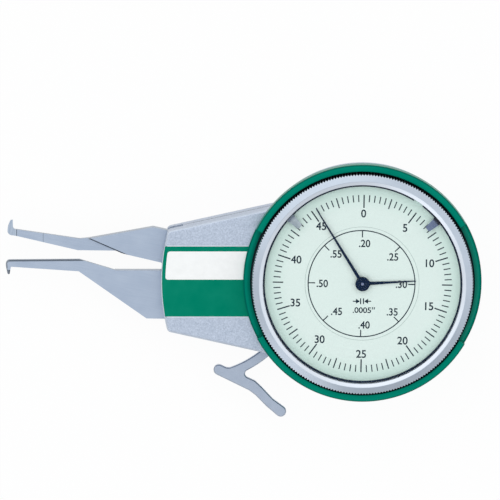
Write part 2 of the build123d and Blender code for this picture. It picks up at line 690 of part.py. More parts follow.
def contact_tip():
    """Hardened hook on the end of the moving arm, pointing up."""
    high, low = [(TIP_JOINT, y) for y in TIP_SEAM]
    left = ThreePointArc((-99.98, 16.72), (-100.76, 14.95), (-100.9, 13.4))
    heel = ThreePointArc(left @ 1, (-100.35, 12.6), (-99.5, 12.35))
    inner = ThreePointArc(high, (-99.12, 14.25), (-99.38, 15.0))
    edges = [left, heel, Line(heel @ 1, low), Line(low, high), inner]
    edges += [Line(inner @ 1, (-99.42, 16.8)), Line((-99.42, 16.8), left @ 0)]
    body = slab(make_face(edges), ARM_LOW, BLADE_TOP) + tip_tongue()
    bevel = outline((14.2, ARM_LOW - 0.5), (17.5, ARM_LOW - 0.5), (17.5, BLADE_TOP - 0.3))
    return body - extrude(Pos(-103, 0, 0) * (Plane.YZ * bevel), 5)


def arm_bush():
    """Bronze bush of the pivot."""
    return tube(BUSH_RADIUS, PIN_RADIUS + PRESS_GAP, ARM_LOW, ARM_HIGH, PIVOT)


def arm_pivot_pin():
    """Pin held by both halves of the housing."""
    return disc(PIN_RADIUS, HOLE_BOTTOM, PIN_TOP, PIVOT)


def thrust_washers():
    """Thin washers on both sides of the moving arm."""
    inner = PIN_RADIUS + PRESS_GAP
    outer = HOUSING_BOSS_RADIUS - WASHER_STEP
    low = ARM_LOW - PIVOT_SPACE
    high = ARM_HIGH + PIVOT_SPACE
    rear = tube(outer, inner, low, low + WASHER_THICKNESS, PIVOT)
    front = tube(outer, inner, high - WASHER_THICKNESS, high, PIVOT)
    return group([rear, front])


def fixed_arm():
    """Lower arm, one piece with its hook, screwed into the housing."""
    face = outline((-101.4, 5.53), (-101.35, 3.6), *HOOK_TIP, (-99.95, 3.6),
                   (-80.65, 2.29), (-61.38, -11.21), (-55.95, -11.3), (-40.4, -11.0), (-40.4, -2.6),
                   (-52.5, -2.6), (-57.25, 2.55), (-70.0, 2.55), (-80.43, 5.7))
    face = rounded(face, (-101.4, 5.53, 1.1), (-99.95, 3.6, 0.3), *[(x, y, 0.2) for x, y in HOOK_TIP])
    body = slab(face, ARM_LOW, ARM_HIGH)
    top = level_edges(body, ARM_HIGH)
    body = chamfer(top.filter_by(lambda edge: edge.center().Y > ARM_CHAMFER_FROM), ARM_CHAMFER)
    thin = outline((-70.2, 2.3), (-79.45, 1.45), (-84, -2), (-104, -2), (-104, 8), (-72, 8))
    body -= slab(thin, ARM_LOW - 1, SPLIT + BLADE_GAP / 2)
    bevel = outline((0.8, SPLIT + 0.6), (3.4, ARM_HIGH + 0.5), (0.8, ARM_HIGH + 0.5))
    body -= extrude(Pos(-103, 0, 0) * (Plane.YZ * bevel), 4)
    shank, head = ARM_SCREW
    cone = down(Cone(head + SCREW_GAP, shank + SCREW_GAP, head - shank, align=BASE))
    for x, y in ROOT_SCREWS:
        body -= disc(shank + SCREW_GAP, ARM_LOW, ARM_HIGH, (x, y)) + Pos(x, y, ARM_HIGH) * cone
    for point in ROOT_DOWELS:
        body -= disc(DOWEL_RADIUS + PRESS_GAP, ARM_LOW, ARM_HIGH, point)
    return body


def lug_screw_points():
    """Where the trigger is screwed to the tail."""
    return [at(sum(STEM_RADII) / 2, angle, PIVOT) for angle in LUG_SCREWS]


def sector_screw_points():
    """Where the sector is screwed to the tail."""
    return [at(SECTOR_SCREW_RADIUS, angle, PIVOT) for angle in SECTOR_SCREW_ANGLES]


def bar(*rounds):
    """Plan of a bar with round ends, from circles of x, y and radius."""
    face = Sketch()
    for first, second in zip(rounds, rounds[1:]):
        pair = [Pos(x, y) * Circle(radius) for x, y, radius in (first, second)]
        face += make_hull(pair[0].edges() + pair[1].edges())
    return face


def trigger():
    """Flat curved lever: pad outside, stem through the slot and lug on the tail."""
    pad = bar((-40.8, -25.95, 1.5), (-31.4, -30.45, 1.6), (-29.5, -32.05, 1.45),
              (-26.35, -35.35, 1.4), (-23.2, -37.85, 1.55))
    face = pad + sector(*STEM_RADII, STEM_END, LUG_END, PIVOT)
    for corner, radius in zip(((-38.8, -25.4), (-33.6, -27.5)), PAD_FILLETS):
        face = fillet(face.vertices().sort_by_distance(corner)[0], radius)
    body = slab(face, SPLIT, TRIGGER_TOP)
    body = chamfer(body.faces().sort_by(Axis.Z)[-1].edges(), TRIGGER_EDGE)
    for point in lug_screw_points():
        body -= disc(SMALL_SCREW[0] + SCREW_GAP, SPLIT, TRIGGER_TOP, point)
    return body


def spring_path(which):
    """Start and direction of a leg of the return spring."""
    turn = SPRING_LEG_ANGLES[which]
    side = 90 if which == 0 else -90
    return at(SPRING_RADIUS, turn + side, PIVOT), turn, side


def spring_rest(which):
    """Middle of the pin that a leg of the return spring presses on."""
    start, turn, side = spring_path(which)
    reach = SPRING_STRIP / 2 + STOP_GAP + SPRING_PIN_RADIUS
    return at(reach, turn + side, at(SPRING_PIN_AT, turn, start))


def stop_point():
    """Middle of the pin that the tail rests on when the arms are open."""
    inner, outer = tail_points()[2:4]
    run = (outer[0] - inner[0], outer[1] - inner[1])
    turn = degrees(atan2(run[1], run[0]))
    along = at(STOP_AT * hypot(*run), turn, inner)
    return at(STOP_RADIUS + STOP_GAP, turn - 90, along)


def return_spring():
    """Flat strip bent round the pivot, with one leg on the housing and one on the arm."""
    starts = []
    legs = Sketch()
    for which in (0, 1):
        start, turn, side = spring_path(which)
        starts.append(turn + side)
        strip = Rectangle(SPRING_LEG, SPRING_STRIP, align=(Align.MIN, Align.CENTER))
        legs += Pos(*start) * Rot(0, 0, turn) * strip
    half = SPRING_STRIP / 2
    coil = sector(SPRING_RADIUS - half, SPRING_RADIUS + half, starts[0], starts[1] + 360, PIVOT)
    return slab(coil + legs, SPRING_LOW, SPRING_HIGH)


def gear(teeth, module, phase, narrow=1.0):
    """Plan of a toothed wheel with straight flanks and a tooth at the phase."""
    radius = teeth * module / 2
    pitch = 360 / teeth
    root = radius - ROOT_DEPTH * module
    tip = radius + TIP_HEIGHT * module * narrow
    points = []
    for index in range(teeth):
        middle = phase + index * pitch
        for reach, share in ((root, -ROOT_SHARE), (tip, -TIP_SHARE), (tip, TIP_SHARE), (root, ROOT_SHARE)):
            points.append(at(reach, middle + share * pitch * narrow))
    return outline(*points)


def meshed(teeth, phase, direction, others):
    """Phase of a wheel that meshes with a wheel of known phase in a direction from it."""
    steps = (phase - direction) * teeth / 360
    return direction + 180 - (steps + 0.5) * 360 / others


def wheel(teeth, phase, low, high, bore):
    """Spoked wheel."""
    root = teeth * MODULE / 2 - ROOT_DEPTH * MODULE
    face = gear(teeth, MODULE, phase) - Circle(root - WHEEL_RIM) + Circle(WHEEL_HUB)
    for turn in (0, 90):
        face += Rot(0, 0, phase + turn) * Rectangle(2 * root - WHEEL_RIM, WHEEL_SPOKE)
    return slab(face - Circle(bore), low, high)


def takeup_point():
    """Axis of the take-up wheel."""
    return at((CENTRE_TEETH + TAKEUP_TEETH) * MODULE / 2, TAKEUP_TURN)


def intermediate_point():
    """Axis of the intermediate arbor."""
    return at((CENTRE_TEETH + INTERMEDIATE_TEETH) * MODULE / 2, INTERMEDIATE_TURN)


def minute_point():
    """Axis of the minute wheel."""
    return at((CANNON_TEETH + MINUTE_TEETH) * MODULE / 2, MINUTE_TURN)


def sector_direction():
    """Angle of the intermediate arbor from the pivot."""
    x, y = intermediate_point()
    return degrees(atan2(y - PIVOT[1], x - PIVOT[0]))


def sector_pitch_radius():
    """Pitch radius of the sector, from the distance of the arbor and its pinion."""
    x, y = intermediate_point()
    return hypot(x - PIVOT[0], y - PIVOT[1]) - SECTOR_PINION_TEETH * SECTOR_MODULE / 2


def sector_gear():
    """Brass toothed sector on the tail of the moving arm."""
    radius = sector_pitch_radius()
    pitch = 360 / SECTOR_TEETH
    root = radius - ROOT_DEPTH * SECTOR_MODULE
    tip = radius + TIP_HEIGHT * SECTOR_MODULE
    start, end = SECTOR_ANGLES
    first = int((sector_direction() - start) / pitch)
    last = int((end - sector_direction()) / pitch)
    face = sector(SECTOR_INNER, root, start, end, PIVOT)
    for index in range(-first, last + 1):
        middle = sector_direction() + index * pitch
        corners = [(root - SECTOR_RIM, -ROOT_SHARE), (root, -ROOT_SHARE), (tip, -TIP_SHARE)]
        corners += [(reach, -share) for reach, share in reversed(corners)]
        face += outline(*[at(reach, middle + share * pitch, PIVOT) for reach, share in corners])
    body = slab(face, SPLIT, SECTOR_TOP)
    for point in sector_screw_points():
        body -= disc(SMALL_SCREW[0] + SCREW_GAP, SPLIT, SECTOR_TOP, point)
    return body


def arbor(point):
    """Plain arbor between the plates, with a pivot at each end."""
    low = REAR_PLATE_TOP + RUNNING_GAP
    high = FRONT_PLATE_LOW - RUNNING_GAP
    body = disc(ARBOR_RADIUS, low, high, point)
    return body + disc(PIVOT_RADIUS, low - PIVOT_LENGTH, high + PIVOT_LENGTH, point)


def intermediate_arbor():
    """Arbor with the pinion that the sector drives."""
    point = intermediate_point()
    phase = meshed(SECTOR_TEETH, sector_direction(), sector_direction(), SECTOR_PINION_TEETH)
    face = Pos(*point) * gear(SECTOR_PINION_TEETH, SECTOR_MODULE, phase, PINION_NARROW)
    return arbor(point) + slab(face, SPLIT - PINION_OVERLAP, SECTOR_TOP + PINION_OVERLAP)


def intermediate_wheel():
    """Large wheel on the intermediate arbor."""
    bore = ARBOR_RADIUS + PRESS_GAP
    body = wheel(INTERMEDIATE_TEETH, INTERMEDIATE_TURN + 180, WHEEL_LOW, WHEEL_TOP, bore)
    return Pos(*intermediate_point()) * body


def centre_phase():
    """Phase of the pinion on the centre arbor."""
    direction = INTERMEDIATE_TURN + 180
    return meshed(INTERMEDIATE_TEETH, direction, direction, CENTRE_TEETH)


def centre_arbor():
    """Arbor in the middle, with its pinion, that carries the long hand."""
    face = gear(CENTRE_TEETH, MODULE, centre_phase(), PINION_NARROW)
    pinion = slab(face, WHEEL_LOW - PINION_OVERLAP, WHEEL_TOP + PINION_OVERLAP)
    return arbor((0, 0)) + pinion + disc(CENTRE_RADIUS, FRONT_PLATE_LOW - RUNNING_GAP, HUB_TOP - HUB_GAP)


def takeup_arbor():
    """Arbor of the wheel that takes up the play."""
    return arbor(takeup_point())


def takeup_wheel():
    """Wheel turned by the centre pinion and pulled by the hairspring."""
    phase = meshed(CENTRE_TEETH, centre_phase(), TAKEUP_TURN, TAKEUP_TEETH)
    body = wheel(TAKEUP_TEETH, phase, WHEEL_LOW, WHEEL_TOP, ARBOR_RADIUS + PRESS_GAP)
    return Pos(*takeup_point()) * body


def hairspring_collet():
    """Brass collet that holds the inner end of the hairspring."""
    radius = HAIRSPRING_START - HAIRSPRING_THICKNESS / 2 - HAIRSPRING_PITCH / 4 - PRESS_GAP
    heights = (HAIRSPRING_LOW - COLLET_OVERLAP, HAIRSPRING_HIGH + COLLET_OVERLAP)
    return tube(radius, ARBOR_RADIUS + PRESS_GAP, *heights, takeup_point())


def hairspring():
    """Flat spiral from the collet to the stud, as half rings that grow."""
    face = Sketch()
    half = HAIRSPRING_THICKNESS / 2
    for index in range(HAIRSPRING_ARCS):
        radius = HAIRSPRING_START + index * HAIRSPRING_PITCH / 2
        side = 1 if index % 2 == 0 else -1
        centre = (side * HAIRSPRING_PITCH / 4, 0)
        face += sector(radius - half, radius + half, 90 - 90 * side, 270 - 90 * side, centre)
    return Pos(*takeup_point()) * slab(face, HAIRSPRING_LOW, HAIRSPRING_HIGH)


def hairspring_stud():
    """Stud under the front plate that holds the outer end of the hairspring."""
    x, y = takeup_point()
    end = HAIRSPRING_START + (HAIRSPRING_ARCS - 1) * HAIRSPRING_PITCH / 2 + HAIRSPRING_PITCH / 4
    reach = end + HAIRSPRING_THICKNESS / 2 + PRESS_GAP + STUD_RADIUS
    return disc(STUD_RADIUS, HAIRSPRING_LOW - COLLET_OVERLAP, FRONT_PLATE_LOW, (x + reach, y))


def pillar_points():
    """Where the pillars are."""
    return [at(PILLAR_CIRCLE, angle) for angle in PILLAR_ANGLES]


def rear_plate():
    """Rear plate of the movement, screwed to the pads."""
    body = disc(REAR_PLATE_RADIUS, REAR_PLATE_LOW, REAR_PLATE_TOP)
    holes = [(PIVOT_RADIUS + PRESS_GAP, point) for point in (intermediate_point(), takeup_point(), (0, 0))]
    holes += [(TENON_RADIUS + PRESS_GAP, point) for point in pillar_points()]
    holes += [(SMALL_SCREW[0] + SCREW_GAP, point) for point in movement_screw_points()]
    for radius, point in holes:
        body -= disc(radius, REAR_PLATE_LOW, REAR_PLATE_TOP, point)
    return body


def front_plate():
    """Front plate of the movement, screwed on the pillars."""
    body = disc(FRONT_PLATE_RADIUS, FRONT_PLATE_LOW, FRONT_PLATE_TOP)
    holes = [(PIVOT_RADIUS + PRESS_GAP, point) for point in (intermediate_point(), takeup_point())]
    holes += [(CENTRE_RADIUS + RUNNING_GAP, (0, 0)), (POST_RADIUS + PRESS_GAP, minute_point())]
    holes += [(SMALL_SCREW[0] + SCREW_GAP, point) for point in pillar_points()]
    for radius, point in holes:
        body -= disc(radius, FRONT_PLATE_LOW, FRONT_PLATE_TOP, point)
    return body


def plate_pillars():
    """Three pillars with their lower ends riveted into the rear plate."""
    pillars = []
    hole = SMALL_SCREW[0] + SCREW_GAP
    depth = PILLAR_SCREW_DEPTH + SCREW_SPARE
    for point in pillar_points():
        pillar = disc(PILLAR_RADIUS, REAR_PLATE_TOP, FRONT_PLATE_LOW, point)
        pillar += disc(TENON_RADIUS, REAR_PLATE_LOW, REAR_PLATE_TOP, point)
        pillars.append(pillar - disc(hole, FRONT_PLATE_LOW - depth, FRONT_PLATE_LOW, point))
    return group(pillars)


def cannon_pinion():
    """Pinion on the centre arbor in front of the plate."""
    face = gear(CANNON_TEETH, MODULE, 0, PINION_NARROW) - Circle(CENTRE_RADIUS + PRESS_GAP)
    low, high = CANNON_LIFTS
    return slab(face, FRONT_PLATE_TOP + low, FRONT_PLATE_TOP + high)


def minute_phase():
    """Phase of the minute wheel, which meshes with the cannon pinion."""
    return meshed(CANNON_TEETH, 0, MINUTE_TURN, MINUTE_TEETH)


def minute_wheel():
    """Wheel and pinion in one piece on a post."""
    low, middle, high = [FRONT_PLATE_TOP + lift for lift in MINUTE_LIFTS]
    large = slab(gear(MINUTE_TEETH, MODULE, minute_phase()), low, middle)
    small = slab(gear(MINUTE_PINION_TEETH, MODULE, minute_phase(), PINION_NARROW), middle, high)
    body = large + small - disc(POST_RADIUS + RUNNING_GAP, low, high)
    return Pos(*minute_point()) * body


def minute_wheel_post():
    """Post with a head, pressed into the front plate."""
    low = FRONT_PLATE_TOP + MINUTE_LIFTS[2] + RUNNING_GAP
    point = minute_point()
    head = disc(POST_RADIUS + POST_HEAD, low, low + POST_HEAD, point)
    return disc(POST_RADIUS, FRONT_PLATE_LOW, low, point) + head


def hour_wheel():
    """Wheel with a pipe that carries the short hand."""
    low, high = [FRONT_PLATE_TOP + lift for lift in HOUR_LIFTS]
    phase = meshed(MINUTE_PINION_TEETH, minute_phase(), MINUTE_TURN + 180, HOUR_TEETH)
    body = slab(gear(HOUR_TEETH, MODULE, phase), low, high)
    body += disc(PIPE_RADIUS, low, SHORT_HAND_TOP)
    return body - disc(CENTRE_RADIUS + RUNNING_GAP, low, SHORT_HAND_TOP)


def case_screws():
    """Six screws that hold the halves together."""
    return group([Pos(x, y) * countersunk(CASE_SCREW, CASE_SCREW_LENGTH) for x, y in case_screw_points()])


def front_screws(length, seat, points):
    """Small flat-headed screws put in from the front."""
    return group([Pos(x, y, seat) * down(panhead(SMALL_SCREW, length)) for x, y in points])


def build():
    """Every node by name."""
    root_screw = down(countersunk(ARM_SCREW, ARM_HIGH - HOLE_BOTTOM - SCREW_SPARE))
    nodes = {
        "rear_housing": rear_housing(),
        "front_housing": front_housing(),
        "housing_screws": case_screws(),
        "rim_ring": rim_ring(),
        "label_plate": label_plate(),
        "fixed_arm": fixed_arm(),
        "fixed_arm_screws": group([Pos(x, y, ARM_HIGH) * root_screw for x, y in ROOT_SCREWS]),
        "fixed_arm_dowels": group([disc(DOWEL_RADIUS, HOLE_BOTTOM, ARM_HIGH, p) for p in ROOT_DOWELS]),
        "arm_pivot_pin": arm_pivot_pin(),
        "thrust_washers": thrust_washers(),
        "rear_plate": rear_plate(),
        "front_plate": front_plate(),
        "plate_pillars": plate_pillars(),
        "plate_screws": front_screws(PLATE_THICKNESS + PILLAR_SCREW_DEPTH, FRONT_PLATE_TOP, pillar_points()),
        "movement_screws": front_screws(REAR_PLATE_TOP - HOLE_BOTTOM - SCREW_SPARE, REAR_PLATE_TOP,
                                        movement_screw_points()),
        "stop_pin": disc(STOP_RADIUS, HOLE_BOTTOM, SPLIT - BLADE_GAP, stop_point()),
        "return_spring": return_spring(),
        "spring_post": disc(SPRING_PIN_RADIUS, HOLE_BOTTOM, SPRING_HIGH + SPRING_PIN_REACH, spring_rest(0)),
        "hairspring": hairspring(),
        "hairspring_stud": hairspring_stud(),
        "minute_wheel_post": minute_wheel_post(),
        "bezel_retaining_wire": bezel_retaining_wire(),
        "moving_arm": moving_arm(),
        "contact_tip": contact_tip(),
        "arm_bush": arm_bush(),
        "trigger": trigger(),
        "trigger_screws": front_screws(TRIGGER_TOP - ARM_LOW - SCREW_SPARE, TRIGGER_TOP, lug_screw_points()),
        "sector_gear": sector_gear(),
        "sector_screws": front_screws(SECTOR_TOP - ARM_LOW - SCREW_SPARE, SECTOR_TOP, sector_screw_points()),
        "spring_pin": disc(SPRING_PIN_RADIUS, SPRING_LOW - SPRING_PIN_REACH, SPLIT, spring_rest(1)),
        "intermediate_arbor": intermediate_arbor(),
        "intermediate_wheel": intermediate_wheel(),
        "centre_arbor": centre_arbor(),
        "cannon_pinion": cannon_pinion(),
        "long_hand": long_hand(),
        "takeup_arbor": takeup_arbor(),
        "takeup_wheel": takeup_wheel(),
        "hairspring_collet": hairspring_collet(),
        "minute_wheel": minute_wheel(),
        "hour_wheel": hour_wheel(),
        "short_hand": short_hand(),
        "bezel": bezel(),
        "crystal": crystal(),
        "dial_plate": dial_plate(),
        "split_ring": split_ring(),
        "left_limit_marker": limit_marker(LEFT_MARKER),
        "right_limit_marker": limit_marker(RIGHT_MARKER),
    }
    return nodes


os.makedirs("parts", exist_ok=True)
for name, shape in build().items():
    export_step(shape, f"parts/{name}.step")
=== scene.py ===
import math

import bmesh
import bpy
from mathutils import Matrix, Vector


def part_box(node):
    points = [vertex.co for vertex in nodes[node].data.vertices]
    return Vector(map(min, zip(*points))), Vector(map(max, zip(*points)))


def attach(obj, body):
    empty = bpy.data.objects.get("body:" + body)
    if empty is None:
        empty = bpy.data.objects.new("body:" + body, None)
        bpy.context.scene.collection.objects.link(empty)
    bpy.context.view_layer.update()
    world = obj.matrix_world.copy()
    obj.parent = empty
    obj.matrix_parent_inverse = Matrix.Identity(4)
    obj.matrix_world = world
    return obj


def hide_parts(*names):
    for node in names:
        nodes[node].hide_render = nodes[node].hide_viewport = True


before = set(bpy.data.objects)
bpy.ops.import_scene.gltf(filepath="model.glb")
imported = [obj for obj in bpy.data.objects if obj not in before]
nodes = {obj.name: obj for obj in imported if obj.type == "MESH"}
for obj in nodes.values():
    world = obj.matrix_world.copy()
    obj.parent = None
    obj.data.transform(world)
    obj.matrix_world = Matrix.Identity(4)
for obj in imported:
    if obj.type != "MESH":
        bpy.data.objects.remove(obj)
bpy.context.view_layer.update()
scene = bpy.context.scene
scene.view_settings.view_transform = "Standard"

# Camera and lamps. The gauge lies on its back and is seen from above through a long lens, which
# leans a little to the side of the moving arm. A large soft lamp stands at the upper left, a
# weaker one at the right and a small one at the lower left.
view_centre = Vector((-0.03193, 0.00928, 0.0173))
view_width = 0.1419
view_distance = 4.0
view_lean = math.radians(6.5)

lens = bpy.data.cameras.new("camera")
lens.sensor_width = 36.0
lens.lens = lens.sensor_width * view_distance / view_width
lens.clip_start, lens.clip_end = 0.1, 20.0
camera = bpy.data.objects.new("camera", lens)
scene.collection.objects.link(camera)
lean = Vector((0.0, math.sin(view_lean), math.cos(view_lean)))
camera.location = view_centre + view_distance * lean
camera.rotation_euler = (-view_lean, 0.0, 0.0)
scene.camera = camera


def hang_lamp(name, place, width, power, colour):
    """A square soft lamp at a place in metres, aimed at the gauge, with its power in watts."""
    lamp = bpy.data.lights.new(name, "AREA")
    lamp.shape = "SQUARE"
    lamp.size = width
    lamp.energy = power
    lamp.color = colour
    holder = bpy.data.objects.new(name, lamp)
    scene.collection.objects.link(holder)
    holder.location = place
    aim = view_centre - Vector(place)
    holder.rotation_euler = aim.to_track_quat("-Z", "Y").to_euler()


hang_lamp("main_lamp", (-0.8, 1.0, 1.3), 2.2, 5.0, (1.0, 1.0, 1.0))
hang_lamp("side_lamp", (1.3, 0.1, 1.0), 1.6, 1.6, (0.96, 0.98, 1.0))
hang_lamp("near_lamp", (-0.75, -1.1, 1.3), 0.9, 2.0, (1.0, 1.0, 1.0))


class Signal:
    """What runs between two shader nodes. Sums written with it become Math nodes."""

    def __init__(self, tree, socket):
        self.tree = tree
        self.socket = socket

    def sum(self, operation, first, second):
        return add_node(self.tree, "Math", {"operation": operation}, {0: first, 1: second})

    def __add__(self, other):
        return self.sum("ADD", self, other)

    def __radd__(self, other):
        return self.sum("ADD", other, self)

    def __sub__(self, other):
        return self.sum("SUBTRACT", self, other)

    def __rsub__(self, other):
        return self.sum("SUBTRACT", other, self)

    def __mul__(self, other):
        return self.sum("MULTIPLY", self, other)

    def __rmul__(self, other):
        return self.sum("MULTIPLY", other, self)

    def __pow__(self, other):
        return self.sum("POWER", self, other)


def add_node(tree, kind, settings=None, inputs=None, output=0):
    """Any shader node: its settings, then its sockets' values or signals. Gives one output."""
    node = tree.nodes.new("ShaderNode" + kind)
    for name, value in (settings or {}).items():
        if name == "stops":
            ramp = node.color_ramp
            while len(ramp.elements) < len(value):
                ramp.elements.new(1.0)
            for stop, (place, colour) in zip(ramp.elements, value):
                stop.position, stop.color = place, (*colour, 1.0)
        else:
            setattr(node, name, value)
    for name, value in (inputs or {}).items():
        if isinstance(value, Signal):
            tree.links.new(value.socket, node.inputs[name])
        else:
            node.inputs[name].default_value = value
    return Signal(tree, node.outputs[output])


# The sky is a soft studio sky, brightest overhead and a little brighter on the far side, the
# side of the moving arm.
sky = bpy.data.worlds.new("sky")
scene.world = sky
sky.use_nodes = True
sky_tree = sky.node_tree
sky_tree.nodes.clear()
sky_direction = add_node(sky_tree, "TexCoord", output="Generated")
sky_height = add_node(sky_tree, "SeparateXYZ", inputs={0: sky_direction}, output="Z")
sky_north = add_node(sky_tree, "SeparateXYZ", inputs={0: sky_direction}, output="Y")
sky_colour = add_node(
    sky_tree,
    "ValToRGB",
    {
        "stops": [
            (0.0, (0.13, 0.14, 0.16)),
            (0.3, (0.39, 0.41, 0.44)),
            (0.64, (0.76, 0.78, 0.8)),
            (1.0, (1.0, 1.0, 1.0)),
        ]
    },
    {0: sky_height},
)
sky_light = add_node(
    sky_tree, "Background", inputs={"Color": sky_colour, "Strength": 1.12 + 0.16 * sky_north}
)
sky_out = sky_tree.nodes.new("ShaderNodeOutputWorld")
sky_tree.links.new(sky_light.socket, sky_out.inputs["Surface"])


# The table is a plain white sheet, which isn't part of the gauge. What is seen of it is lifted
# to white, and it keeps a soft shadow under the gauge.
class Finish:
    """A material being mixed: its tree, its main shader and a shorthand for its nodes."""

    def __init__(self, name, colour, metallic, roughness, specular=0.5):
        self.material = bpy.data.materials.new(name)
        self.material.use_nodes = True
        self.tree = self.material.node_tree
        self.shader = self.tree.nodes["Principled BSDF"]
        self.set("Base Color", (*colour, 1.0))
        self.set("Metallic", metallic)
        self.set("Roughness", roughness)
        self.set("Specular IOR Level", specular)

    def set(self, socket, value):
        if isinstance(value, Signal):
            self.tree.links.new(value.socket, self.shader.inputs[socket])
        else:
            self.shader.inputs[socket].default_value = value

    def node(self, kind, settings=None, inputs=None, output=0):
        return add_node(self.tree, kind, settings, inputs, output)

    def place(self, stretch=(1.0, 1.0, 1.0), turn=0.0):
        """The point on the piece, in metres, turned and stretched."""
        point = self.node("TexCoord", output="Object")
        turned = self.node(
            "Mapping",
            {"vector_type": "TEXTURE"},
            {"Vector": point, "Rotation": (0.0, 0.0, turn)},
        )
        return self.node("VectorMath", {"operation": "MULTIPLY"}, {0: turned, 1: stretch})

    def noise(self, point, scale, detail=2.0, roughness=0.5):
        """Cloudy noise, with so many clouds to a metre."""
        return self.node(
            "TexNoise",
            inputs={"Vector": point, "Scale": scale, "Detail": detail, "Roughness": roughness},
        )

    def blend(self, factor, first, second):
        """A colour between two, which may be colours or signals."""
        colours = [c if isinstance(c, Signal) else (*c, 1.0) for c in (first, second)]
        return self.node(
            "Mix",
            {"data_type": "RGBA"},
            {"Factor": factor, 6: colours[0], 7: colours[1]},
            output=2,
        )

    def spread(self, signal, low, high):
        """A signal that runs about 0.3 to 0.7, such as noise, spread from low to high."""
        return self.node(
            "MapRange",
            inputs={
                "Value": signal,
                "From Min": 0.3,
                "From Max": 0.7,
                "To Min": low,
                "To Max": high,
            },
        )

    def mottle(self, signal, dark, pale):
        """Colours the piece between two tones, as a signal such as noise goes up and down."""
        self.set("Base Color", self.blend(self.spread(signal, 0.0, 1.0), dark, pale))

    def step(self, signal, low, high):
        """0 at low and 1 at high, with a soft change between. Low may be the larger one."""
        return self.node(
            "MapRange",
            {"interpolation_type": "SMOOTHSTEP"},
            {"Value": signal, "From Min": low, "From Max": high},
        )

    def side(self, point, axis):
        """How far a point, or a direction, goes along one axis."""
        return self.node("SeparateXYZ", inputs={0: point}, output=axis)

    def upright(self):
        """How far a face looks up: 1 on a level face, 0 on a side wall."""
        return self.side(self.node("NewGeometry", output="Normal"), "Z")

    def near(self, signal, place, half_width, soft):
        """1 where a signal is at a place, and 0 at more than half a width from it."""
        away = self.node("Math", {"operation": "ABSOLUTE"}, {0: signal - place})
        return self.step(away, half_width, half_width - soft)

    def across(self, point):
        """Distance of a point from the axis of the dial, in metres."""
        level = self.node("VectorMath", {"operation": "MULTIPLY"}, {0: point, 1: (1.0, 1.0, 0.0)})
        return self.node("VectorMath", {"operation": "LENGTH"}, {0: level}, output="Value")

    def bump(self, height, depth):
        """Raises the surface a little where a signal is high, up to a depth in metres."""
        self.set("Normal", self.node("Bump", inputs={"Height": height, "Distance": depth}))


table_white = Finish("table_white", (0.9, 0.9, 0.9), 0.0, 0.9)
paths = {
    ray: table_white.node("LightPath", output=ray)
    for ray in ("Is Camera Ray", "Is Glossy Ray", "Is Transmission Ray")
}
seen = paths["Is Camera Ray"] + paths["Is Glossy Ray"] + paths["Is Transmission Ray"]
lift = 0.94
lifted = table_white.node(
    "MixShader",
    inputs={
        0: table_white.node("Math", {"operation": "MINIMUM"}, {0: seen * lift, 1: lift}),
        1: Signal(table_white.tree, table_white.shader.outputs[0]),
        2: table_white.node("Emission", inputs={"Color": (1.0, 1.0, 1.0, 1.0), "Strength": 1.0}),
    },
)
table_white.tree.links.new(
    lifted.socket, table_white.tree.nodes["Material Output"].inputs["Surface"]
)

table_half_width, table_drop = 4.0, 0.00005
sheet = bmesh.new()
bmesh.ops.create_grid(sheet, x_segments=1, y_segments=1, size=table_half_width)
table_mesh = bpy.data.meshes.new("table")
sheet.to_mesh(table_mesh)
sheet.free()
table_mesh.transform(Matrix.Translation((0.0, 0.0, -table_drop)))
table_mesh.materials.append(table_white.material)
table = bpy.data.objects.new("table", table_mesh)
scene.collection.objects.link(table)


def dress(material, *names):
    """Gives a material to every slot of the CAD nodes named."""
    for name in names:
        for slot in nodes[name].material_slots:
            slot.material = material


# The housing: two cast zinc halves, screwed together from the back and sprayed with a silver
# hammer finish, whose flakes sparkle and which dries dimpled. A painted highlight lightens the
# rounding of the neck's upper edge, the joint between the halves is dark, and painted shade
# darkens the gap under the green ring.
silver_paint = Finish("silver_paint", (0.41, 0.47, 0.57), 0.8, 0.42)
paint_point = silver_paint.place()
paint_clouds = silver_paint.noise(paint_point, 420.0, 3.0)
paint_dimples = silver_paint.noise(paint_point, 2200.0, 2.0, 0.6)
paint_flakes = silver_paint.node(
    "TexVoronoi", inputs={"Vector": paint_point, "Scale": 3000.0}, output="Color"
)
flake_value = silver_paint.node("SeparateColor", inputs={0: paint_flakes}, output="Red")
paint_tone = silver_paint.spread(paint_dimples, 0.0, 0.45) + 0.4 * flake_value
sprayed = silver_paint.blend(
    paint_tone + silver_paint.spread(paint_clouds, 0.0, 0.12),
    (0.33, 0.39, 0.49),
    (0.61, 0.68, 0.8),
)
neck_top = 0.015
paint_height = silver_paint.side(paint_point, "Z")
# Painted highlight: the rounding of the neck's upper edge is painted lighter.
edge_highlight = silver_paint.step(
    paint_height, neck_top - 0.00065, neck_top - 0.0004
) * silver_paint.step(paint_height, neck_top - 0.00003, neck_top - 0.0001)
edge_highlighted = silver_paint.blend(edge_highlight, sprayed, (0.66, 0.72, 0.81))
joint_line = silver_paint.near(paint_height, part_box("rear_housing")[1].z, 0.0003, 0.00006)
jointed = silver_paint.blend(joint_line, edge_highlighted, (0.04, 0.055, 0.08))
under_ring_radius = 0.03235
# Painted shade: the paint in the gap under the green ring is made nearly black.
under_ring_shade = silver_paint.step(
    silver_paint.across(paint_point), under_ring_radius, under_ring_radius - 0.0002
) * silver_paint.step(paint_height, neck_top - 0.0005, neck_top)
silver_paint.set("Base Color", silver_paint.blend(under_ring_shade, jointed, (0.01, 0.02, 0.03)))
silver_paint.set("Roughness", silver_paint.spread(paint_dimples, 0.38, 0.5))
silver_paint.bump(paint_dimples + 0.2 * flake_value, 0.000012)
dress(silver_paint.material, "rear_housing", "front_housing")
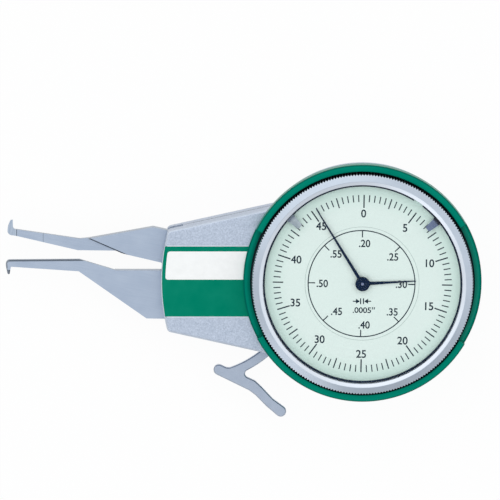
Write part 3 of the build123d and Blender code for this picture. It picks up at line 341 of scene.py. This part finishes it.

# The ring round the front of the drum: zinc with a smooth green stove enamel. Painted shade
# darkens its inner wall and its outer rounding, and most of all its edge right against the bezel.
green_enamel = Finish("green_enamel", (0.0, 0.25, 0.17), 0.0, 0.32, specular=0.12)
green_enamel.set("Specular Tint", (0.0, 0.7, 0.5, 1.0))
enamel_point = green_enamel.place()
enamel_tone = green_enamel.blend(
    green_enamel.spread(green_enamel.noise(enamel_point, 90.0, 2.0), 0.0, 1.0),
    (0.0, 0.22, 0.15),
    (0.002, 0.25, 0.17),
)
enamel_radius = green_enamel.across(enamel_point)
ring_top, ring_inner, ring_outer = 0.0202, 0.03186, 0.03385
# Painted shade: the outer rounding of the ring is painted darker.
outer_rounding_shade = green_enamel.step(
    enamel_radius, ring_outer - 0.00055, ring_outer - 0.00025
) * green_enamel.step(green_enamel.upright(), 0.05, 0.3)
enamel_rounding_shaded = green_enamel.blend(0.7 * outer_rounding_shade, enamel_tone, (0.0, 0.1, 0.075))
# Painted shade: the inner wall of the ring, below its top, is painted darker.
inner_wall_shade = green_enamel.step(
    enamel_radius, ring_inner + 0.00124, ring_inner + 0.00024
) * green_enamel.step(green_enamel.side(enamel_point, "Z"), ring_top - 0.0001, ring_top - 0.0004)
enamel_wall_shaded = green_enamel.blend(0.5 * inner_wall_shade, enamel_rounding_shaded, (0.0, 0.07, 0.05))
# Painted shade: the ring's edge right against the bezel is painted nearly black.
bezel_gap_shade = green_enamel.step(enamel_radius, ring_inner + 0.00019, ring_inner - 0.00001)
green_enamel.set(
    "Base Color", green_enamel.blend(bezel_gap_shade, enamel_wall_shaded, (0.0, 0.03, 0.03))
)
green_enamel.set("Roughness", 0.32 + 0.5 * inner_wall_shade)
green_enamel.bump(green_enamel.noise(enamel_point, 700.0, 2.0), 0.000015)
dress(green_enamel.material, "rim_ring")

# The name plate on the neck: thin aluminium, printed green, that lies in a shallow recess. Its
# white field is a piece of its own, below.
label_enamel = Finish("label_enamel", (0.0, 0.2, 0.12), 0.0, 0.38, specular=0.2)
label_enamel.set("Specular Tint", (0.0, 0.7, 0.5, 1.0))
label_point = label_enamel.place()
label_enamel.mottle(
    label_enamel.noise(label_point, 220.0, 3.0), (0.0, 0.2, 0.12), (0.004, 0.225, 0.14)
)
label_enamel.bump(label_enamel.noise(label_point, 1500.0), 0.000006)
dress(label_enamel.material, "label_plate")

# The white field printed on the label: one layer of ink, left bare. It is rounded at its left
# corners and runs up to the green ring.
field_ink = Finish("field_ink", (0.86, 0.86, 0.86), 0.0, 0.45)
field_ink.mottle(
    field_ink.noise(field_ink.place(), 700.0, 3.0), (0.92, 0.93, 0.92), (0.96, 0.97, 0.96)
)


def corners_of(parts):
    """The corners among the parts of a shape that an operator gives back."""
    return [part for part in parts if isinstance(part, bmesh.types.BMVert)]


def finish_mesh(name, shape, material, body):
    """Makes a shape a piece of the gauge, which rides on a body and has a slot's finish."""
    mesh = bpy.data.meshes.new(name)
    bmesh.ops.remove_doubles(shape, verts=shape.verts, dist=1e-8)
    bmesh.ops.recalc_face_normals(shape, faces=shape.faces)
    shape.to_mesh(mesh)
    shape.free()
    mesh.materials.append(material)
    piece = bpy.data.objects.new(name, mesh)
    scene.collection.objects.link(piece)
    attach(piece, body)
    return piece


field_low, field_high = 0.00055, 0.0086
field_end, field_start = 0.05595, 0.03386
field_corner, field_cuts = 0.0007, 11
ink_lift, ink_thickness = 0.00001, 0.00001
field_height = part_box("label_plate")[1].z + ink_lift
field = bmesh.new()
for x, y in ((-1, field_low), (1, field_low), (1, field_high), (-1, field_high)):
    field.verts.new((x, y, field_height))
field.faces.new(field.verts)
bmesh.ops.subdivide_edges(
    field, edges=[e for e in field.edges if e.verts[0].co.y != e.verts[1].co.y], cuts=field_cuts
)
for corner in field.verts:
    reach = field_end if corner.co.x < 0 else field_start
    corner.co.x = -math.sqrt(reach**2 - corner.co.y ** 2)
left_corners = [
    v
    for v in field.verts
    if v.co.x < -(field_end + field_start) / 2
    and min(v.co.y - field_low, field_high - v.co.y) < 1e-6
]
bmesh.ops.bevel(
    field,
    geom=left_corners,
    offset=field_corner,
    affect="VERTICES",
    segments=5,
    profile=0.5,
    material=-1,
)
field_raised = bmesh.ops.extrude_face_region(field, geom=list(field.faces))["geom"]
bmesh.ops.translate(field, verts=corners_of(field_raised), vec=(0.0, 0.0, ink_thickness))
finish_mesh("label_white_field", field, field_ink.material, "housing")

# The lip of the recess that the label lies in: a low slope cast with the housing, under the same
# silver paint.
lip_paint = Finish("lip_paint", (0.5, 0.56, 0.66), 0.2, 0.5, specular=0.1)
lip_paint.mottle(lip_paint.noise(lip_paint.place(), 1500.0), (0.56, 0.62, 0.7), (0.66, 0.72, 0.8))

lip_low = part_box("label_plate")[1].z
lip_rise, lip_slope, lip_back = 0.00006, 0.00038, 0.0003
lip_end_slope, lip_end_back = 0.0002, 0.00014
lip_start, lip_clear, lip_steps = 0.0322, 0.0005, 24
label_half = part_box("label_plate")[1].y
label_left = -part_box("label_plate")[0].x
lip = bmesh.new()
for way in (1, -1):
    section = [
        lip.verts.new((-lip_start, way * (label_half + out), lip_low + up))
        for out, up in ((0.0, 0.0), (lip_slope, 0.0), (lip_slope, lip_rise), (lip_back, lip_rise))
    ]
    end = bmesh.ops.extrude_face_region(lip, geom=[lip.faces.new(section)])["geom"]
    reach = math.sqrt(label_left**2 - label_half**2) - lip_start - lip_clear
    bmesh.ops.translate(lip, verts=corners_of(end), vec=(-reach, 0.0, 0.0))
spread_angle = math.asin((label_half - lip_clear) / label_left)
section = [
    lip.verts.new((-(label_left + out), 0.0, lip_low + up))
    for out, up in (
        (0.0, 0.0),
        (lip_end_slope, 0.0),
        (lip_end_slope, lip_rise),
        (lip_end_back, lip_rise),
    )
]
bmesh.ops.rotate(
    lip, verts=section, cent=(0, 0, 0), matrix=Matrix.Rotation(-spread_angle, 3, "Z")
)
end_face = lip.faces.new(section)
bmesh.ops.spin(
    lip,
    geom=section + list(end_face.edges) + [end_face],
    cent=(0.0, 0.0, 0.0),
    axis=(0.0, 0.0, 1.0),
    angle=2 * spread_angle,
    steps=lip_steps,
    use_merge=False,
)
finish_mesh("label_lip", lip, lip_paint.material, "housing")

# The two flat arms: hardened steel, ground along their length on their faces. The sides are
# left as they were cut, and are duller and darker, and the chamfers carry a painted dark
# reflection. A dark line crosses the moving arm at the seam of its tip, and a faint line of
# painted shade at its shoulder.
ground_steel = Finish("ground_steel", (0.5, 0.55, 0.63), 1.0, 0.38)
grain = ground_steel.noise(ground_steel.place((160.0, 4500.0, 4500.0), turn=-0.2), 1.0, 3.0)
patches = ground_steel.noise(ground_steel.place(), 180.0, 3.0)
ground_tone = ground_steel.blend(
    ground_steel.spread(grain, 0.0, 0.5) + ground_steel.spread(patches, 0.0, 0.5),
    (0.34, 0.41, 0.525),
    (0.42, 0.49, 0.6),
)
arm_slope = ground_steel.upright()
arm_point = ground_steel.place()
arm_x = ground_steel.side(arm_point, "X")
arm_y = ground_steel.side(arm_point, "Y")
fixed_hook = -0.1007
# Painted reflection: the chamfers, but not the fixed arm's hook, are painted darker.
dark_chamfer_reflection = ground_steel.step(arm_slope, 0.15, 0.45) * ground_steel.step(
    arm_x, fixed_hook, fixed_hook + 0.0004
)
sawn_and_chamfer_reflection_tone = ground_steel.blend(dark_chamfer_reflection, (0.36, 0.41, 0.48), (0.23, 0.27, 0.325))
steel_tone = ground_steel.blend(ground_steel.step(arm_slope, 0.8, 0.97), sawn_and_chamfer_reflection_tone, ground_tone)

moving_side = 0.009


def cross_line(x, half_width):
    """A line across the moving arm, which lies above the fixed one, at a place along it."""
    line = ground_steel.near(arm_x, x, half_width, 0.4 * half_width)
    return line * ground_steel.step(arm_y, moving_side, moving_side + 0.0002)


tip_seam = cross_line(-0.0984, 0.0002)
# Painted shade: a faint dark line across the moving arm at its shoulder step.
shoulder_shade_line = cross_line(-0.09075, 0.00018)
ground_steel.set(
    "Base Color",
    ground_steel.blend(tip_seam + 0.3 * shoulder_shade_line, steel_tone, (0.05, 0.065, 0.09)),
)
ground_steel.set("Roughness", ground_steel.spread(grain, 0.34, 0.42))
ground_steel.bump(grain, 0.000004)
dress(ground_steel.material, "fixed_arm", "moving_arm")

# The contact tip on the end of the moving arm: a harder steel, brazed on, and ground bright
# across the arm.
tip_steel = Finish("tip_steel", (0.6, 0.64, 0.68), 1.0, 0.3)
tip_grain = tip_steel.noise(tip_steel.place((3500.0, 400.0, 3500.0)), 1.0, 2.0)
tip_steel.mottle(tip_grain, (0.32, 0.39, 0.49), (0.44, 0.51, 0.61))
tip_steel.set("Roughness", tip_steel.spread(tip_grain, 0.26, 0.38))
tip_steel.bump(tip_grain, 0.000006)
dress(tip_steel.material, "contact_tip")

# The trigger: steel strip, stamped, tumbled smooth and plated, and screwed to the moving arm's
# tail. Its side walls are brighter than its face.
plated_steel = Finish("plated_steel", (0.55, 0.6, 0.7), 1.0, 0.4)
tumbling = plated_steel.noise(plated_steel.place(), 500.0, 3.0)
plated_tone = plated_steel.blend(
    plated_steel.spread(tumbling, 0.0, 1.0), (0.35, 0.41, 0.51), (0.4, 0.46, 0.56)
)
plated_face = plated_steel.step(plated_steel.upright(), 0.3, 0.9)
plated_steel.set("Base Color", plated_steel.blend(plated_face, (0.75, 0.8, 0.88), plated_tone))
plated_steel.set("Roughness", plated_steel.spread(tumbling, 0.36, 0.46))
plated_steel.bump(tumbling, 0.00001)
dress(plated_steel.material, "trigger")

# Screws, pins, posts, washers and arbors: turned from steel rod, and ground or plated. The bush
# that the moving arm turns on is bronze.
screw_steel = Finish("screw_steel", (0.55, 0.57, 0.6), 1.0, 0.3)
screw_mottle = screw_steel.noise(screw_steel.place(), 1800.0, 3.0)
screw_steel.set("Roughness", screw_steel.spread(screw_mottle, 0.25, 0.42))
screw_steel.bump(screw_mottle, 0.000006)
dress(
    screw_steel.material,
    "housing_screws",
    "fixed_arm_screws",
    "trigger_screws",
    "sector_screws",
    "plate_screws",
    "movement_screws",
    "fixed_arm_dowels",
    "arm_pivot_pin",
    "stop_pin",
    "spring_pin",
    "spring_post",
    "thrust_washers",
    "hairspring_stud",
    "minute_wheel_post",
    "intermediate_arbor",
    "takeup_arbor",
)
bronze = Finish("bronze", (0.6, 0.38, 0.18), 1.0, 0.35)
bronze_mottle = bronze.noise(bronze.place(), 1500.0, 3.0)
bronze.mottle(bronze_mottle, (0.5, 0.31, 0.14), (0.66, 0.43, 0.22))
bronze.bump(bronze_mottle, 0.000006)
dress(bronze.material, "arm_bush")

# The springs: blued steel strip and a fine hairspring. The wire that holds the bezel on the
# housing and the centre arbor are blued too.
blued_steel = Finish("blued_steel", (0.16, 0.2, 0.32), 1.0, 0.3)
bluing = blued_steel.noise(blued_steel.place(), 700.0, 2.0)
blued_steel.mottle(bluing, (0.12, 0.16, 0.3), (0.24, 0.28, 0.38))
blued_steel.bump(bluing, 0.000005)
dress(blued_steel.material, "return_spring", "hairspring", "bezel_retaining_wire", "centre_arbor")

# The movement: brass plates with a straight grain, held apart by pillars, and brass wheels that
# are turned, cut and polished.
plate_brass = Finish("plate_brass", (0.72, 0.52, 0.22), 1.0, 0.32)
plate_grain = plate_brass.noise(plate_brass.place((120.0, 5000.0, 120.0)), 1.0, 3.0)
plate_brass.mottle(plate_grain, (0.62, 0.43, 0.16), (0.78, 0.58, 0.27))
plate_brass.bump(plate_grain, 0.000008)
dress(plate_brass.material, "rear_plate", "front_plate", "plate_pillars")
wheel_brass = Finish("wheel_brass", (0.78, 0.57, 0.25), 1.0, 0.22)
wheel_mottle = wheel_brass.noise(wheel_brass.place(), 1200.0, 3.0)
wheel_brass.mottle(wheel_mottle, (0.7, 0.5, 0.2), (0.82, 0.62, 0.3))
wheel_brass.bump(wheel_mottle, 0.000004)
dress(
    wheel_brass.material,
    "intermediate_wheel",
    "takeup_wheel",
    "hairspring_collet",
    "cannon_pinion",
    "minute_wheel",
    "hour_wheel",
    "sector_gear",
)

# The bezel: aluminium, turned on a lathe, knurled on its outside and satin chromed. Painted shade
# darkens the roots of the knurl, and a painted highlight lightens the bevel facing the crystal.
satin_chrome = Finish("satin_chrome", (0.62, 0.67, 0.74), 1.0, 0.34)
chrome_point = satin_chrome.place()
chrome_radius = satin_chrome.across(chrome_point)
turned_point = satin_chrome.node("CombineXYZ", inputs={"X": chrome_radius * 6000.0})
turned_lines = satin_chrome.noise(turned_point, 1.0, 2.0)
satin_tone = satin_chrome.blend(
    satin_chrome.spread(turned_lines, 0.0, 0.7)
    + satin_chrome.spread(satin_chrome.noise(chrome_point, 420.0, 3.0), 0.0, 0.3),
    (0.475, 0.54, 0.62),
    (0.555, 0.615, 0.695),
)
ridge_radius, wall_radius, root_radius = 0.02932, 0.0304, 0.031
tooth_top = satin_chrome.step(chrome_radius, root_radius - 0.0001, root_radius + 0.0001)
toothed_tone = satin_chrome.blend(tooth_top, satin_tone, (0.56, 0.62, 0.7))
# Painted highlight: the bevel that faces the crystal is painted lighter.
bevel_highlight = satin_chrome.step(chrome_radius, ridge_radius + 0.00005, ridge_radius - 0.00005)
face_tone = satin_chrome.blend(bevel_highlight, toothed_tone, (0.67, 0.72, 0.79))
# Painted shade: the knurl is painted nearly black towards its roots.
knurl_root_shade = satin_chrome.step(chrome_radius, root_radius, root_radius + 0.0003)
knurl_shaded_tone = satin_chrome.blend(knurl_root_shade, (0.02, 0.03, 0.045), (0.6, 0.66, 0.74))
outside = satin_chrome.step(chrome_radius, wall_radius, wall_radius + 0.0002)
wall_tone = satin_chrome.blend(outside, (0.5, 0.56, 0.64), knurl_shaded_tone)
looks_up = satin_chrome.step(satin_chrome.upright(), 0.2, 0.6)
satin_chrome.set("Base Color", satin_chrome.blend(looks_up, wall_tone, face_tone))
satin_chrome.set("Roughness", satin_chrome.spread(turned_lines, 0.3, 0.4))
satin_chrome.bump(turned_lines, 0.000003)
dress(satin_chrome.material, "bezel")

# The crystal: a clear pane of acrylic, pressed into the bezel. It hardly shows from straight
# above, and mirrors more the flatter it is seen.
clear_pane = Finish("clear_pane", (0.95, 1.0, 0.98), 1.0, 0.03)
turned_away = clear_pane.node("LayerWeight", inputs={"Blend": 0.5}, output="Facing")
pane = clear_pane.node(
    "MixShader",
    inputs={
        0: 0.002 + 0.8 * turned_away**5.0,
        1: clear_pane.node("BsdfTransparent"),
        2: Signal(clear_pane.tree, clear_pane.shader.outputs[0]),
    },
)
clear_pane.tree.links.new(pane.socket, clear_pane.tree.nodes["Material Output"].inputs["Surface"])
dress(clear_pane.material, "crystal")

# The dial: a thin brass plate, sprayed a pale mint, with painted shade that darkens it a little
# towards its edge. It lies in the bezel and turns with it.
mint_paint = Finish("mint_paint", (0.72, 0.86, 0.82), 0.0, 0.5, specular=0.3)
mint_point = mint_paint.place()
mint_cloud = mint_paint.spread(mint_paint.noise(mint_point, 1600.0, 3.0), 0.0, 1.0)
mint_tone = mint_paint.blend(mint_cloud, (0.73, 0.845, 0.8), (0.755, 0.87, 0.825))
pale_radius, edge_radius = 0.0205, 0.0285
# Painted shade: the mint is painted darker from the middle out to the edge.
mint_edge_shade = mint_paint.step(mint_paint.across(mint_point), pale_radius, edge_radius)
mint_paint.set("Base Color", mint_paint.blend(mint_edge_shade, mint_tone, (0.64, 0.82, 0.75)))
mint_paint.bump(mint_paint.noise(mint_point, 2500.0), 0.000003)
dress(mint_paint.material, "dial_plate")

# The print on the dial: a hundred lines round the edge with figures for each tenth of a turn,
# and a small inner scale with its own circle, lines and figures, in dark ink. It is laid out in
# dots of 0.2843 mm, is turned by a degree, and its inner scale lies a dot to the left.
dot = 0.0002843
print_turn = math.radians(1.0)
inner_shift = -1.0 * dot
print_thickness = 0.00001
print_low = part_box("dial_plate")[1].z + 0.00001
print_middle = print_low + print_thickness / 2

dial_ink = Finish("dial_ink", (0.012, 0.03, 0.04), 0.0, 0.5, specular=0.1)
dial_ink.mottle(
    dial_ink.noise(dial_ink.place(), 3000.0), (0.002, 0.014, 0.03), (0.008, 0.026, 0.048)
)
grey_ink = Finish("grey_ink", (0.45, 0.55, 0.52), 0.0, 0.5, specular=0.1)
grey_ink.mottle(grey_ink.noise(grey_ink.place(), 3000.0), (0.4, 0.5, 0.47), (0.5, 0.6, 0.57))


def add_line(shape, angle, inner, outer, width, shift=0.0):
    """One printed line that points at the scale's middle, at an angle clockwise from the top."""
    turn = Matrix.Rotation(-angle, 4, "Z")
    size = Matrix.Diagonal((width, outer - inner, print_thickness, 1.0))
    place = Matrix.Translation((0.0, (inner + outer) / 2, print_middle))
    moved = Matrix.Translation((shift, 0.0, 0.0))
    bmesh.ops.create_cube(shape, size=1.0, matrix=moved @ turn @ place @ size)


def add_circle(shape, radius, width, shift):
    """A printed circle, its small square section spun once round the scale's middle."""
    start = [
        shape.verts.new((shift + radius + out, 0.0, print_low + up))
        for out, up in (
            (-width / 2, 0.0),
            (width / 2, 0.0),
            (width / 2, print_thickness),
            (-width / 2, print_thickness),
        )
    ]
    loop = [shape.edges.new((start[i], start[(i + 1) % 4])) for i in range(4)]
    bmesh.ops.spin(
        shape,
        geom=start + loop,
        cent=(shift, 0.0, 0.0),
        axis=(0.0, 0.0, 1.0),
        angle=math.tau,
        steps=120,
        use_merge=True,
    )


tenth_line = (76.0 * dot, 89.0 * dot, 0.00036)
middle_line = (79.2 * dot, 89.6 * dot, 0.00033)
short_line = (82.0 * dot, 89.0 * dot, 0.00029)
inner_radius, inner_width = 53.3 * dot, 0.0003
scale_lines = bmesh.new()
for step in range(100):
    line = tenth_line if step % 10 == 0 else middle_line if step % 5 == 0 else short_line
    add_line(scale_lines, print_turn + math.tau * step / 100, *line)
for step in range(8):
    angle = print_turn + math.tau * step / 8
    add_line(scale_lines, angle, 46.4 * dot, inner_radius, inner_width, inner_shift)
add_circle(scale_lines, inner_radius, inner_width, inner_shift)
finish_mesh("dial_lines", scale_lines, dial_ink.material, "bezel")

faint_radius, faint_width = 56.9 * dot, 0.00012
faint_circle = bmesh.new()
add_circle(faint_circle, faint_radius, faint_width, 0.5 * inner_shift)
finish_mesh("dial_faint_circle", faint_circle, grey_ink.material, "bezel")


def add_arrow(shape, tip, way):
    """A printed arrow with its tip at a point, pointing right where way is 1, left where -1."""
    head = bmesh.ops.create_circle(shape, cap_ends=True, segments=3, radius=2.9 * dot)["verts"]
    bmesh.ops.transform(
        shape,
        verts=head,
        matrix=Matrix.Translation((tip[0] - way * 2.6 * dot, tip[1], print_low))
        @ Matrix.Diagonal((0.9, 1.0, 1.0, 1.0))
        @ Matrix.Rotation(-way * math.pi / 2, 4, "Z"),
    )
    raised = bmesh.ops.extrude_face_region(shape, geom=list(head[0].link_faces))["geom"]
    bmesh.ops.translate(shape, verts=corners_of(raised), vec=(0.0, 0.0, print_thickness))
    bmesh.ops.create_cube(
        shape,
        size=1.0,
        matrix=Matrix.Translation((tip[0] - way * 5.2 * dot, tip[1], print_middle))
        @ Matrix.Diagonal((3.8 * dot, 0.00028, print_thickness, 1.0)),
    )


sign = bmesh.new()
sign_height = -17.7 * dot
for way in (1, -1):
    add_arrow(sign, ((-0.5 - way * 2.1) * dot, sign_height), way)
    bmesh.ops.create_cube(
        sign,
        size=1.0,
        matrix=Matrix.Translation(((-0.5 + way * 1.4) * dot, sign_height, print_middle))
        @ Matrix.Diagonal((0.0003, 5.8 * dot, print_thickness, 1.0)),
    )
finish_mesh("dial_sign", sign, dial_ink.material, "bezel")


def add_figures(shape, words, middle, height, narrow):
    """Figures laid flat on the dial, centred on a point and made a little narrow or wide."""
    curve = bpy.data.curves.new("figures", "FONT")
    curve.body = words
    curve.align_x = "CENTER"
    curve.align_y = "CENTER"
    curve.extrude = 0.01
    curve.bevel_depth = 0.016
    curve.bevel_resolution = 0
    writing = bpy.data.objects.new("figures", curve)
    scene.collection.objects.link(writing)
    bpy.context.view_layer.update()
    mesh = bpy.data.meshes.new_from_object(writing)
    bpy.data.objects.remove(writing)
    corners = [v.co for v in mesh.vertices]
    low = Vector([min(c[i] for c in corners) for i in range(3)])
    high = Vector([max(c[i] for c in corners) for i in range(3)])
    scale = height / (high.y - low.y)
    centred = Matrix.Translation(-(low + high) / 2)
    size = Matrix.Diagonal((scale * narrow, scale, print_thickness / (high.z - low.z), 1.0))
    place = Matrix.Translation((middle[0], middle[1], print_middle))
    turn = Matrix.Rotation(-print_turn, 4, "Z")
    mesh.transform(turn @ place @ size @ centred)
    shape.from_mesh(mesh)
    bpy.data.meshes.remove(mesh)


figures = bmesh.new()
for words, right, up in (
    ("0", -0.2, 70.4),
    ("5", 41.4, 56.6),
    ("10", 66.9, 21.6),
    ("15", 66.9, -21.6),
    ("20", 40.9, -56.6),
    ("25", -0.2, -70.7),
    ("30", -41.8, -56.6),
    ("35", -66.7, -20.2),
    ("40", -66.6, 23.0),
    ("45", -42.3, 57.0),
):
    add_figures(figures, words, (right * dot, up * dot), 8.0 * dot, 0.97)
for words, right, up in (
    (".20", 1.3, 40.4),
    (".25", 29.6, 27.3),
    (".30", 38.8, 0.0),
    (".35", 30.1, -27.9),
    (".40", 2.3, -41.5),
    (".45", -25.5, -28.3),
    (".50", -40.2, -0.5),
    (".55", -27.0, 29.3),
):
    add_figures(figures, words, (right * dot, up * dot), 7.6 * dot, 0.93)
add_figures(figures, ".0005″", (1.8 * dot, -26.5 * dot), 6.0 * dot, 1.1)
finish_mesh("dial_figures", figures, dial_ink.material, "bezel")

# The split ring that holds the dial down: flat spring wire, blackened, and sprung into the
# bezel. Its gap is at the upper right.
black_oxide = Finish("black_oxide", (0.012, 0.024, 0.05), 0.0, 0.4, specular=0.15)
oxide_mottle = black_oxide.noise(black_oxide.place(), 1500.0)
black_oxide.mottle(oxide_mottle, (0.006, 0.016, 0.038), (0.014, 0.028, 0.06))
black_oxide.set("Roughness", black_oxide.spread(oxide_mottle, 0.35, 0.5))
dress(black_oxide.material, "split_ring")

# The two limit markers: thin satin strip, and each slides round under the crystal. The left one
# is a paler grey than the right one, whose foot at the edge of the dial is nearly black.
foot_start, foot_full = 0.0268, 0.0276
for marker, dark, pale, foot in (
    ("left", (0.27, 0.33, 0.38), (0.42, 0.49, 0.53), (0.16, 0.2, 0.26)),
    ("right", (0.11, 0.15, 0.26), (0.16, 0.205, 0.32), (0.004, 0.01, 0.028)),
):
    marker_grey = Finish(marker + "_marker_grey", dark, 0.0, 0.4, specular=0.3)
    marker_point = marker_grey.place()
    marker_mottle = marker_grey.noise(marker_point, 700.0, 3.0)
    marker_foot = marker_grey.step(marker_grey.across(marker_point), foot_start, foot_full)
    marker_tone = marker_grey.blend(marker_grey.spread(marker_mottle, 0.0, 1.0), dark, pale)
    marker_grey.set("Base Color", marker_grey.blend(marker_foot, marker_tone, foot))
    marker_grey.bump(marker_mottle, 0.000004)
    dress(marker_grey.material, marker + "_limit_marker")

# The hands: stamped from thin steel and lacquered blue-black, and pushed on the centre arbor and
# on the hour wheel.
hand_lacquer = Finish("hand_lacquer", (0.006, 0.016, 0.045), 0.0, 0.3, specular=0.06)
hand_lacquer.mottle(
    hand_lacquer.noise(hand_lacquer.place(), 1500.0), (0.004, 0.014, 0.04), (0.007, 0.02, 0.052)
)
dress(hand_lacquer.material, "long_hand", "short_hand")

# The long hand's blade is cut square at its tip, 0.3 mm wide. This shape replaces the CAD
# one, which runs out to a point, and rides on the centre arbor as that did.
blade_half, blade_start = 0.00015, 0.01
blade = bmesh.new()
blade.from_mesh(nodes["long_hand"].data)
bmesh.ops.remove_doubles(blade, verts=blade.verts, dist=1e-8)
blade.transform(nodes["long_hand"].matrix_world)
blade_reach = max(v.co.xy.length for v in blade.verts)
tip_corners = [v.co.xy for v in blade.verts if v.co.xy.length > blade_reach - 0.0001]
tip_way = sum(tip_corners, Vector((0.0, 0.0)))
to_x = Matrix.Rotation(-math.atan2(tip_way.y, tip_way.x), 4, "Z")
blade.transform(to_x)
for corner in blade.verts:
    if corner.co.x > blade_start and abs(corner.co.y) < blade_half:
        corner.co.y = math.copysign(blade_half, corner.co.y)
blade.transform(to_x.inverted())
blade_piece = finish_mesh("long_hand_blade", blade, hand_lacquer.material, "centre")
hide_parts("long_hand")
